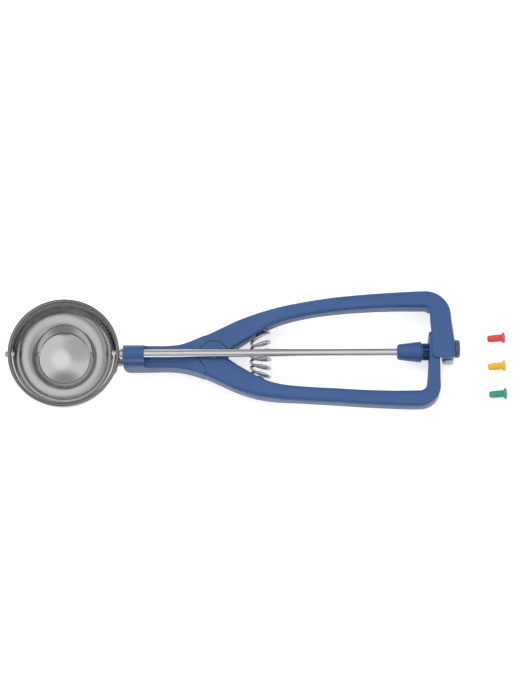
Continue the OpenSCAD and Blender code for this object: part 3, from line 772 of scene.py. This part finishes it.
class SCOOP_OT_ferrule(bpy.types.Operator):
    """Moulded ferrule that holds the shaft's front bush, rounded under the bowl"""

    bl_idname = "scoop.ferrule"
    bl_label = "Ferrule"

    def execute(self, context):
        """Carries an outline along the shaft: a hump over the shaft, round shoulders and a flat
        foot with soft corners. A quarter ellipse then takes off the chin under the bowl."""
        front, rear = 30.9, 41.6
        half, hump, shoulder, foot = 6.0, 4.3, 3.5, 1.0
        low = UNDER_LINE[0][1] - 0.1
        high = -1.5
        meet = math.degrees(math.asin(high / hump))
        right = np.concatenate([arc((0, 0), hump, 90, meet, 14),
                                arc((half - shoulder, high - shoulder), shoulder, 60, 0, 10),
                                arc((half - foot, low + foot), foot, 0, -90, 8)])
        outline = np.concatenate([right, (right * [-1, 1])[::-1]])
        stations = np.concatenate([[front, front + 0.25], np.linspace(front + 0.8, rear - 0.8, 14),
                                   [rear - 0.25, rear]])
        rings = np.empty((len(stations), len(outline), 3))
        rings[:, :, 0] = stations[:, None]
        rings[:, :, 1:] = outline[None]
        piece = loft("ferrule_body", rings)
        long, tall = 4.2, 11.0
        sweep = np.radians(np.linspace(0, 90, 24))
        hollow = np.stack([front + long - long * np.sin(sweep),
                           low + tall - tall * np.cos(sweep)], 1)
        side = np.concatenate([[[front - 5, low - 5], [front + long, low - 5]], hollow,
                               [[front, 9], [front - 5, 9]]])
        chin = np.stack([np.insert(side, 1, y, axis=1) for y in (-20, 20)])
        carve(piece, [loft("chin", chin)])
        chamfer(piece, 0.45, 3, 30)
        dress(piece, "frame", ["ferrule"], finishes("blue_nylon"), sharp=45)
        return {"FINISHED"}


# ---------------------------------------------------------------- handle and lever

def arm_rings(start, rise=0.0, end=ARM_END):
    """Rings along an arm, every 1 mm from `start` behind the hinge to `end`. Inner and outer edge,
    underside and top follow the four lines; `rise` lifts the top towards the foot."""
    x = np.arange(start, end, 1.0)
    inner = np.stack([HINGE_X + x, smooth_line(INNER_LINE, x)], 1)
    outer = np.stack([HINGE_X + x, smooth_line(OUTER_LINE, x)], 1)
    top = smooth_line(TOP_LINE, x) + rise * ease((x - 60) / 45)
    return soft_rings(inner, outer, smooth_line(UNDER_LINE, x), top, EDGE_R)


def corner_rings(centre, inner, outer, low, high, soft, count=26):
    """Rings fanned round the rear corner: at a share u of the turn, radii, heights and softness go
    from their first to their second value in a straight line."""
    u = np.linspace(0, 1, count)
    turn = np.radians(90 * (1 - u))
    way = np.stack([np.cos(turn), np.sin(turn)], 1)
    pairs = (inner, outer, low, high, soft)
    inner, outer, low, high, soft = (first * (1 - u) + second * u for first, second in pairs)
    centre = np.asarray(centre, float)
    return soft_rings(centre + way * inner[:, None], centre + way * outer[:, None], low, high, soft)


def column_rings(corner_y):
    """Rings down the column into the rounded foot. Front and rear edge and the drop of its corners
    follow smooth lines of minus y."""
    front = HINGE_X + ARM_LEN + 5.6
    table = np.array([[-corner_y, front - 0.6, FOOT_REAR - 1.8, 0],
                      [-13, front - 0.4, FOOT_REAR - 1.3, 0],
                      [-8, front, FOOT_REAR - 0.7, 0],
                      [-3, front + 0.1, FOOT_REAR - 0.1, 0],
                      [1.5, front + 0.1, FOOT_REAR, 0],
                      [-FOOT_Y - 1, front + 0.3, FOOT_REAR - 0.6, 0.3],
                      [-FOOT_Y, front + 1.3, FOOT_REAR - 1.8, 1.2]])
    y = np.concatenate([np.arange(corner_y - 0.7, FOOT_Y + 1.2, -0.7),
                        np.linspace(FOOT_Y + 1, FOOT_Y, 8)])
    near, far, drop = (smooth_line(table[:, [0, k]], -y) for k in (1, 2, 3))
    return soft_rings(np.stack([near, y], 1), np.stack([far, y], 1),
                      GRIP_UNDER + drop, ROOF_TOP - drop * 0.4, EDGE_R)


def neck_piece():
    """The neck from its collar back, cut off where the lever's side of the seam begins."""
    rim = np.array([0, 0.25, COLLAR_LEN - 0.2, COLLAR_LEN, COLLAR_LEN + 0.05]) - NECK_LEN
    x = np.concatenate([rim, np.linspace(rim[-1] + 0.6, SEAM_X - HINGE_X, 40)])
    half = smooth_line(OUTER_LINE, x)
    high = smooth_line(TOP_LINE, x) + COLLAR_RISE * (x <= rim[3])
    neck = loft("neck", soft_rings(np.stack([HINGE_X + x, -half], 1),
                                   np.stack([HINGE_X + x, half], 1),
                                   smooth_line(UNDER_LINE, x), high, NECK_SOFT))
    seam_x, seam_y = SEAM_CENTRE
    beyond = block("beyond_seam", (seam_x, -60, -60), (seam_x + 60, -SEAM_MEET, 60))
    carve(beyond, [rod("seam_bulge", -70, 70, SEAM_R, 2, (seam_x, -seam_y, 0), 192)])
    return carve(neck, [beyond])


def spring_peg():
    """Round peg on the fixed arm's inner wall that holds the spring's end."""
    r = 2.7
    wall = float(smooth_line(INNER_LINE, SPRING_X - HINGE_X))
    peg = lathe("peg", [(-1.5, 0), (-1.5, r), (0.8, r), (1.2, r - 0.5), (1.2, 0)], axis=1, around=48)
    turn = Matrix.Rotation(math.radians(30), 4, "Z")
    flip = Matrix.Rotation(math.radians(180), 4, "Z")
    peg.data.transform(Matrix.Translation((SPRING_X, wall, SPRING_Z + 0.6)) @ turn @ flip)
    return peg


class SCOOP_OT_handle(bpy.types.Operator):
    """Fixed handle: neck, fixed arm, column and the foot that holds shaft and marker pin"""

    bl_idname = "scoop.handle"
    bl_label = "Fixed handle"

    def execute(self, context):
        """Lofts arm, corner and column in one, joins the neck, and makes room for the lever."""
        neck = neck_piece()
        corner_y = HANDLE_CORNER[1]
        arm = loft("handle_frame", np.concatenate([
            arm_rings(-14, ROOF_TOP - GRIP_TOP),
            corner_rings(HANDLE_CORNER,
                         (GRIP_HALF - ARM_W - corner_y, 2.3), (GRIP_HALF - corner_y, 13.5),
                         (GRIP_UNDER, GRIP_UNDER), (ROOF_TOP, ROOF_TOP), (EDGE_R, EDGE_R)),
            column_rings(corner_y)]))
        carve(arm, [neck], "UNION")
        carve(arm, [rod("lap", LAP_Z - LAP_GAP, 40, DISC_R + 0.3, 2, HINGE, 128)])
        carve(arm, [rod("plate", PLATE_BOTTOM, LAP_Z - LAP_GAP, DISC_R + 0.5, 2, HINGE, 128),
                    rod("barrel", BUSH_FRONT - 0.3, MARKER_X, 3.9, 0),
                    spring_peg()], "UNION")
        room = []
        for turn in (0, TRAVEL):
            cut = block("room", (RACK_REAR - 7, SLOT_LOW - 0.35, -40),
                        (RACK_REAR + 0.35, RACK_TIP_Y + 0.35, ROOF_UNDER))
            room.append(about_hinge(cut, turn))
        carve(arm, room + [
            rod("hinge_bore", -40, 40, HANDLE_BORE_R, 2, HINGE),
            rod("bush_bore", 190, BUSH_REAR, 2.92, 0),
            rod("pin_bore", -30, FOOT_Y + 7.9, 1.93, 1, (MARKER_X, 0, MARKER_Z)),
            block("tang_slot", (0, -3.1, -13.3), (60.7, 3.1, -9.3))])
        dress(arm, "frame", ["fixed_handle"], finishes("blue_nylon"), sharp=30)
        return {"FINISHED"}


def upright_front(y):
    """Front edge of the upright: an arc about the hinge."""
    return HINGE_X + np.sqrt(RACK_IN_R ** 2 - np.asarray(y, float) ** 2)


def upright_rings():
    """Rings along the upright past the shaft to its rounded tip, at positive y. The tip draws in
    by a quarter circle of radius `tip`."""
    tip = 1.5
    y = np.arange(17.2, -7.7, -0.8)
    a = np.radians(np.linspace(0, 90, 8))
    back = np.concatenate([np.zeros(len(y)), tip * (1 - np.cos(a))])
    y = np.concatenate([y, -(RACK_TIP_Y - tip + tip * np.sin(a))])
    return soft_rings(np.stack([upright_front(y) + back, y], 1), np.stack([RACK_REAR - back, y], 1),
                      RACK_BOTTOM + back * 0.4, RACK_TOP - back * 0.4, RACK_SOFT)


def rack_tooth(turn):
    """One straight-sided tooth of the rack, a radial bar about the hinge."""
    width = math.pi * MODULE / 2 - BACKLASH
    slope = math.tan(PRESSURE)
    low = RACK_ROOT_Z - 0.3
    wide = width / 2 + (-PINION_R - low) * slope
    narrow = width / 2 - (RACK_TIP_Z + PINION_R) * slope
    outline = np.array([[-wide, low], [wide, low], [narrow, RACK_TIP_Z], [-narrow, RACK_TIP_Z]])
    ends = (RACK_IN_R + 0.25, RACK_REAR - HINGE_X - 0.25)
    bar = np.stack([np.column_stack([np.full(4, x), outline]) for x in ends])
    tooth = loft("rack_tooth", bar)
    tooth.data.transform(Matrix.Translation(HINGE))
    return about_hinge(tooth, turn)


class SCOOP_OT_lever(bpy.types.Operator):
    """Squeeze lever: hinge disc, arm, and the slotted upright with the rack"""

    bl_idname = "scoop.lever"
    bl_label = "Squeeze lever"

    def execute(self, context):
        """Lofts the arm on the fixed arm's side, mirrors it, and adds slot, disc and teeth."""
        corner_x, corner_y = LEVER_CORNER
        arm = loft("lever_arm", np.concatenate([
            arm_rings(-LEVER_FRONT, end=LEVER_ARM_END),
            corner_rings(LEVER_CORNER,
                         (GRIP_HALF - ARM_W - corner_y, float(upright_front(corner_y)) - corner_x),
                         (GRIP_HALF - corner_y - 0.3, RACK_REAR - corner_x),
                         (GRIP_UNDER, RACK_BOTTOM), (GRIP_TOP, RACK_TOP), (EDGE_R, RACK_SOFT)),
            upright_rings()]))
        carve(arm, [spring_peg()], "UNION")
        room = []
        for turn in (0, TRAVEL):
            bulge = rod("seam_bulge", -70, 70, SEAM_R + SEAM_GAP, 2, (*SEAM_CENTRE, 0), 192)
            room.append(about_hinge(bulge, turn))
        carve(arm, room)
        mirror_side(arm)
        carve(arm, [rod("plate_room", -40, LAP_Z + LAP_GAP, DISC_R + 0.8, 2, HINGE, 128),
                    block("slot", (150, SLOT_LOW, RACK_ROOT_Z), (220, SLOT_TOP, SLOT_TOP))])
        carve(arm, [rod("disc", LAP_Z + LAP_GAP, DISC_TOP, DISC_R, 2, HINGE, 128)], "UNION")
        step = math.degrees(math.pi * MODULE / RACK_PITCH_R)
        carve(arm, [rack_tooth((k + 0.5) * step) for k in range(-6, 2)], "UNION")
        carve(arm, [rod("hinge_bore", -40, 40, LEVER_BORE_R, 2, HINGE)])
        dress(arm, "lever", ["squeeze_lever"], finishes("blue_nylon"), sharp=30)
        return {"FINISHED"}


# ---------------------------------------------------------------- spring

def coil_tilt(t):
    """Tilt about z of the spring's turns at a share t of the wire's length: they fan out evenly
    about the hinge, to SPRING_FAN degrees either way."""
    return np.radians(SPRING_FAN) * (2 * t - 1)


def coil_point(t, turns, radius):
    """A point of the wire's middle at a share t of its length: a circle of the radius, wound
    clockwise from the hinge's side as seen from the lever, tilted, and moved along y from the
    lever to the fixed arm."""
    a = np.pi - 2 * np.pi * turns * t
    tilt = coil_tilt(t)
    return np.stack([SPRING_X + radius * np.cos(a) * np.cos(tilt),
                     SPRING_HALF * (2 * t - 1) + radius * np.cos(a) * np.sin(tilt),
                     SPRING_Z + radius * np.sin(a)], axis=-1)


class SCOOP_OT_spring(bpy.types.Operator):
    """Coil spring that pushes the two arms apart"""

    bl_idname = "scoop.spring"
    bl_label = "Return spring"

    def execute(self, context):
        """Carries a circle of the wire's radius along the coil, square to its direction."""
        s = sizes()
        thick = s.wire_d / 2
        t = np.linspace(0, 1, int(s.turns * 56) + 1)
        middle = coil_point(t, s.turns, (SPRING_SIZE - s.wire_d) / 2)
        way = np.gradient(middle, axis=0)
        way /= np.linalg.norm(way, axis=1)[:, None]
        tilt = coil_tilt(t)
        side = np.cross(way, np.stack([-np.sin(tilt), np.cos(tilt), 0 * t], 1))
        side /= np.linalg.norm(side, axis=1)[:, None]
        up = np.cross(way, side)
        a = np.linspace(0, 2 * np.pi, 20, endpoint=False)[None, :, None]
        rings = middle[:, None] + thick * (side[:, None] * np.cos(a) + up[:, None] * np.sin(a))
        piece = loft("return_coil", rings)
        dress(piece, None, ["return_spring"], finishes("spring_steel"), sharp=60)
        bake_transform(piece)
        return {"FINISHED"}


# ---------------------------------------------------------------- knob, pinion and cap

class SCOOP_OT_knob(bpy.types.Operator):
    """Cone-shaped knob on the shaft with a rounded front ring"""

    bl_idname = "scoop.knob"
    bl_label = "Knob"

    def execute(self, context):
        """Turns a closed profile: round nose, cone, soft rear edge and a sleeve to the pinion."""
        rear = PINION_FRONT - 1
        front = rear - 12.6
        nose, front_r, rear_r, sleeve, bore = 1.4, 4.15, 5.4, 4.5, 2.02
        profile = np.concatenate([
            [[front, bore]],
            arc((front + nose, front_r - nose), nose, 180, 96, 16),
            [[rear - 0.9, rear_r - 0.03]],
            arc((rear - 0.6, rear_r - 0.55), 0.55, 90, 0, 8),
            [[rear, sleeve], [PINION_FRONT - 0.25, sleeve], [PINION_FRONT - 0.1, sleeve - 0.15],
             [PINION_FRONT - 0.1, bore]]])
        piece = lathe("knob_body", profile, around=96, closed=True)
        dress(piece, "shaft", ["shaft_knob"], finishes("blue_nylon"), sharp=40)
        return {"FINISHED"}


def gear_outline(teeth, module, pressure, backlash):
    """Outline of the pinion. A flank is the involute of the base circle: at radius r it stands off
    the tooth's middle by its half angle less tan(a) - a, where cos(a) is base radius over r."""
    pitch_r = module * teeth / 2
    tip = pitch_r + 0.5 * module
    root = pitch_r - 0.95 * module
    base = pitch_r * math.cos(pressure)
    half = (math.pi * module / 2 - backlash) / 2 / pitch_r + math.tan(pressure) - pressure
    r = np.linspace(base + 0.02, tip, 7)
    a = np.arccos(base / r)
    off = half - (np.tan(a) - a)
    flank = np.concatenate([[[root, half]], np.stack([r, off], 1)])
    tooth = np.concatenate([flank * [1, -1], flank[::-1]])
    turn = 2 * np.pi * np.arange(teeth)[:, None] / teeth - np.pi / 2
    angle = (turn + tooth[:, 1]).ravel()
    radius = np.tile(tooth[:, 0], teeth)
    return np.stack([radius * np.cos(angle), radius * np.sin(angle)], 1)


class SCOOP_OT_pinion(bpy.types.Operator):
    """Moulded pinion that the rack turns, with its hub"""

    bl_idname = "scoop.pinion"
    bl_label = "Pinion"

    def execute(self, context):
        """Carries the gear's outline along the shaft, drawn in a little at both ends."""
        outline = gear_outline(sizes().teeth, MODULE, PRESSURE, BACKLASH)
        ends = (PINION_FRONT, PINION_FRONT + 0.2, RACK_REAR - 0.7, RACK_REAR - 0.5)
        drawn_in = (0.955, 1, 1, 0.955)
        rings = np.stack([np.column_stack([np.full(len(outline), x), outline * k])
                          for x, k in zip(ends, drawn_in)])
        piece = loft("pinion_gear", rings)
        start, end, hub_r = PINION_FRONT + 0.3, BUSH_FRONT - 0.5, 2.9
        hub = lathe("pinion_hub", [(start, 0), (start, hub_r), (end, hub_r), (end, 0)], around=64)
        carve(piece, [hub], "UNION")
        dress(piece, "shaft", ["drive_pinion"], finishes("dark_nylon"), sharp=25)
        return {"FINISHED"}


class SCOOP_OT_cap(bpy.types.Operator):
    """Round cap on the rear of the foot"""

    bl_idname = "scoop.cap"
    bl_label = "End cap"

    def execute(self, context):
        """Turns a profile with a spigot into the foot and a soft rear edge."""
        soft, r, thick, spigot = 0.9, 4.6, 2.5, 2.3
        x = FOOT_REAR
        profile = np.concatenate([
            [[x - 0.35, 0], [x - 0.35, spigot], [x + 0.02, spigot], [x + 0.02, r - 0.15],
             [x + 0.17, r]],
            arc((x + thick - soft, r - soft), soft, 90, 0, 12),
            [[x + thick, 0]]])
        piece = lathe("foot_cap", profile, (0, 0.9, 2.2), around=96)
        dress(piece, "frame", ["end_cap"], finishes("cap_nylon"), sharp=40)
        return {"FINISHED"}


# ---------------------------------------------------------------- marker pins and fastenings

def marker_pin(name):
    """A marker pin along z from the outer face of its flange, with a tapered, slit shank."""
    soft = 0.3
    profile = np.concatenate([
        [[0, 0]],
        arc((soft, FLANGE_R - soft), soft, 180, 90, 5),
        arc((FLANGE_LEN - soft, FLANGE_R - soft), soft, 90, 0, 5),
        [[FLANGE_LEN, SHANK_R], [MARKER_LEN - 2.6, SHANK_R]],
        arc((MARKER_LEN - 0.4, SHANK_R - 0.65), 0.4, 80, 0, 6),
        [[MARKER_LEN, 0]]])
    pin = lathe(name, profile, axis=2, around=64)
    return carve(pin, [block("slit", (-0.35, -9, MARKER_LEN - 4), (0.35, 9, MARKER_LEN + 5))])


class SCOOP_OT_pins(bpy.types.Operator):
    """Marker pins: the neutral one in the foot and three coloured ones lying beside it"""

    bl_idname = "scoop.pins"
    bl_label = "Marker pins"

    def execute(self, context):
        """Sets the neutral pin in its bore. Each loose pin lies on flange and shank, so it leans,
        and its middle goes to the middle of its node's box."""
        pin = marker_pin("pin_neutral")
        inward = Matrix.Rotation(math.radians(-90), 4, "X")
        pin.data.transform(Matrix.Translation((MARKER_X, FOOT_Y - FLANGE_LEN, MARKER_Z)) @ inward)
        dress(pin, "neutral_pin", ["marker_pin_neutral"], finishes("pale_nylon"))
        lean = math.atan2(FLANGE_R - SHANK_R + 0.25, MARKER_LEN)
        tilted = Matrix.Rotation(-math.pi / 2 - lean, 4, "Y")
        lying = Matrix.Scale(MM, 4) @ tilted @ Matrix.Translation((FLANGE_R, 0, 0))
        for colour in ("red", "yellow", "green"):
            node = "marker_pin_" + colour
            nylon = colour + "_nylon"
            low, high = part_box(node)
            pin = marker_pin("pin_" + colour)
            pin.data.transform(lying)
            points = mesh_points(pin.data)
            middle = Vector((points.min(0) + points.max(0)) / 2)
            pin.data.transform(Matrix.Translation((Vector(low) + Vector(high)) / 2 - middle))
            dress(pin, colour + "_pin", [node], finishes(nylon), local=False)
        return {"FINISHED"}


SATIN_NODES = ("bowl_tang", "tang_rivets", "hinge_pin", "hinge_washer", "hinge_clip",
               "thrust_washer", "cross_pin")
PALE_NODES = ("front_bush", "rear_bush")


class SCOOP_OT_fastenings(bpy.types.Operator):
    """Finishes of the small CAD pieces that stay: tang, rivets, hinge pin, washers, clip, bushes"""

    bl_idname = "scoop.fastenings"
    bl_label = "Fastenings"

    def execute(self, context):
        """Gives each node that shows as it is its finish."""
        for nodes, finish in ((SATIN_NODES, "satin_steel"), (PALE_NODES, "pale_nylon")):
            for node in nodes:
                mesh = frame["nodes"][node].data
                mesh.materials.clear()
                mesh.materials.append(finishes(finish))
        return {"FINISHED"}


# ---------------------------------------------------------------- stage

# What polished metal sees round the scoop: name, lean and side of its middle, radius of its full
# part and of its soft edge in degrees, brightness
PANELS = (
    ("left flag", 34, 208, 6, 44, 0.50),
    ("rear flag", 66, 90, 4, 38, 0.32),
    ("front flag", 60, -90, 10, 24, 0.16),
    ("softbox", 16, 50, 5, 28, 0.92),
)
ROOM = 0.72

# Darker walls of that room: brightness, and the heights of a ray where they start and are full
HORIZON = 0.22
HORIZON_START = 0.36
HORIZON_FULL = 0.16

FLOOR_REACH = 6.0
FLOOR_COLOUR = (0.82, 0.82, 0.82, 1)
GLOSSY_FLOOR = 0.45


def lean_from_camera(tilt, towards):
    """Direction that leans from the camera's by an angle, towards a side of the picture: 0 is the
    foot's side, 90 the fixed arm's side. Both in degrees."""
    lean = math.radians(tilt)
    side = math.radians(towards)
    high = stage().elevation
    back = np.array([0, -math.cos(high), math.sin(high)])
    up = np.array([0, math.sin(high), math.cos(high)])
    across = np.array([math.cos(side), 0, 0]) + math.sin(side) * up
    return (math.cos(lean) * back + math.sin(lean) * across) @ BASIS


def studio_world(level):
    """Even soft light for matt surfaces. Glossy rays see a room of the given panels instead: each
    mixes its brightness over what was there, by a smooth step of the angle to its middle. What is
    seen straight or through a clear piece is white."""
    world = bpy.data.worlds.new("studio")
    bpy.context.scene.world = world
    world.use_nodes = True
    tree = world.node_tree
    tree.nodes.clear()
    link = tree.links.new
    way = tree.nodes.new("ShaderNodeTexCoord").outputs["Generated"]
    shade = ROOM
    for name, tilt, side, full, edge, value in PANELS:
        near = tree.nodes.new("ShaderNodeVectorMath")
        near.operation = "DOT_PRODUCT"
        near.label = name
        near.inputs[1].default_value = lean_from_camera(tilt, side)
        link(way, near.inputs[0])
        share = step_up(tree, near.outputs["Value"], math.cos(math.radians(edge)),
                        math.cos(math.radians(full)))
        shade = mixed(tree, "FLOAT", shade, value, share)
    height = tree.nodes.new("ShaderNodeSeparateXYZ")
    link(way, height.inputs["Vector"])
    share = step_up(tree, height.outputs["Z"], HORIZON_START, HORIZON_FULL)
    shade = mixed(tree, "FLOAT", shade, HORIZON, share)
    soft, seen, white = (tree.nodes.new("ShaderNodeBackground") for _ in range(3))
    for plain in (soft, white):
        plain.inputs["Color"].default_value = (1, 1, 1, 1)
    soft.inputs["Strength"].default_value = level
    link(shade, seen.inputs["Color"])
    path = tree.nodes.new("ShaderNodeLightPath").outputs
    straight = maths(tree, "MAXIMUM", path["Is Camera Ray"], path["Is Transmission Ray"])
    first, second = (tree.nodes.new("ShaderNodeMixShader") for _ in range(2))
    link(path["Is Glossy Ray"], first.inputs["Fac"])
    link(soft.outputs["Background"], first.inputs[1])
    link(seen.outputs["Background"], first.inputs[2])
    link(straight, second.inputs["Fac"])
    link(first.outputs["Shader"], second.inputs[1])
    link(white.outputs["Background"], second.inputs[2])
    out = tree.nodes.new("ShaderNodeOutputWorld")
    link(second.outputs["Shader"], out.inputs["Surface"])


def floor_finish(lift):
    """Pale floor: matt where the light falls, lifted to white for what the camera sees, and by a
    part of that for what metal sees."""
    material, tree, shader = new_finish("pale_floor")
    shader.inputs["Base Color"].default_value = FLOOR_COLOUR
    shader.inputs["Roughness"].default_value = 0.9
    shader.inputs["Specular IOR Level"].default_value = 0.0
    path = tree.nodes.new("ShaderNodeLightPath").outputs
    seen = maths(tree, "MAXIMUM", path["Is Camera Ray"], path["Is Transmission Ray"])
    seen = maths(tree, "MAXIMUM", seen, maths(tree, "MULTIPLY", path["Is Glossy Ray"], GLOSSY_FLOOR))
    glow = tree.nodes.new("ShaderNodeEmission")
    tree.links.new(maths(tree, "MULTIPLY", seen, lift), glow.inputs["Strength"])
    add = tree.nodes.new("ShaderNodeAddShader")
    tree.links.new(shader.outputs["BSDF"], add.inputs[0])
    tree.links.new(glow.outputs["Emission"], add.inputs[1])
    out = next(node for node in tree.nodes if node.type == "OUTPUT_MATERIAL")
    tree.links.new(add.outputs["Shader"], out.inputs["Surface"])
    return material


def key_light(power):
    """Large square softbox over the bowl's side, which no glossy ray sees."""
    light = bpy.data.lights.new("key", "AREA")
    light.shape = "RECTANGLE"
    light.size = 1.2
    light.size_y = 1.2
    light.energy = power
    lamp = bpy.data.objects.new("key", light)
    bpy.context.scene.collection.objects.link(lamp)
    lamp.location = (-0.4, 0.7, 1.3)
    lamp.rotation_euler = (-lamp.location).to_track_quat("-Z", "Y").to_euler()
    lamp.visible_glossy = False


def studio_camera(settings):
    """Camera that looks down on the scoop from the lever's side."""
    camera = bpy.data.objects.new("camera", bpy.data.cameras.new("camera"))
    bpy.context.scene.collection.objects.link(camera)
    camera.data.lens = settings.lens
    camera.data.sensor_width = 36.0
    camera.data.clip_start = 0.01
    camera.data.clip_end = 50
    aim = Vector(place([103.03, 1.55, 0.0]))
    high = settings.elevation
    right = Vector(ALONG)
    back = Vector(-math.cos(high) * SIDE + math.sin(high) * BASIS[2])
    turned = Matrix((right, back.cross(right), back)).transposed().to_4x4()
    roll = Matrix.Rotation(-settings.roll, 4, "Z")
    camera.matrix_world = Matrix.Translation(aim + back * settings.distance) @ turned @ roll
    bpy.context.scene.camera = camera


class SCOOP_OT_stage(bpy.types.Operator):
    """Pale floor, soft light and the camera"""

    bl_idname = "scoop.stage"
    bl_label = "Stage"

    def execute(self, context):
        """Lays the floor at height 0 and sets up world, lamp and camera."""
        settings = stage()
        context.scene.view_settings.view_transform = "Standard"
        r = FLOOR_REACH
        floor = solid("floor", [(-r, -r, 0), (r, -r, 0), (r, r, 0), (-r, r, 0)], [[0, 1, 2, 3]])
        floor.data.materials.append(floor_finish(settings.floor))
        studio_world(settings.level)
        key_light(settings.key)
        studio_camera(settings)
        return {"FINISHED"}


# ---------------------------------------------------------------- add-on

OPERATORS = (SCOOP_OT_stage, SCOOP_OT_bowl, SCOOP_OT_scraper, SCOOP_OT_shaft, SCOOP_OT_ferrule,
             SCOOP_OT_handle, SCOOP_OT_lever, SCOOP_OT_spring, SCOOP_OT_knob, SCOOP_OT_pinion,
             SCOOP_OT_cap, SCOOP_OT_pins, SCOOP_OT_fastenings)


class SCOOP_PT_panel(bpy.types.Panel):
    """Lists the scoop's pieces and settings"""

    bl_idname = "SCOOP_PT_panel"
    bl_label = "Ice cream scoop"
    bl_space_type = "VIEW_3D"
    bl_region_type = "UI"
    bl_category = "Scoop"

    def draw(self, context):
        """Draws one box of settings for each group, then a button for each piece."""
        for group in (sizes(), colours(), stage()):
            box = self.layout.box()
            for name in group.__annotations__:
                box.prop(group, name)
        for piece in OPERATORS:
            self.layout.operator(piece.bl_idname)


CLASSES = (ScoopSizes, ScoopColours, ScoopStage, *OPERATORS, SCOOP_PT_panel)


def register():
    """Registers the classes and hangs the settings on the scene."""
    for item in CLASSES:
        bpy.utils.register_class(item)
    bpy.types.Scene.scoop_sizes = PointerProperty(type=ScoopSizes)
    bpy.types.Scene.scoop_colours = PointerProperty(type=ScoopColours)
    bpy.types.Scene.scoop_stage = PointerProperty(type=ScoopStage)


def unregister():
    """Takes the settings and the classes away again."""
    del bpy.types.Scene.scoop_stage
    del bpy.types.Scene.scoop_colours
    del bpy.types.Scene.scoop_sizes
    for item in reversed(CLASSES):
        bpy.utils.unregister_class(item)


def main():
    """Builds the stage and every piece."""
    register()
    for piece in OPERATORS:
        group, name = piece.bl_idname.split(".")
        getattr(getattr(bpy.ops, group), name)()


if __name__ == "__main__":
    main()
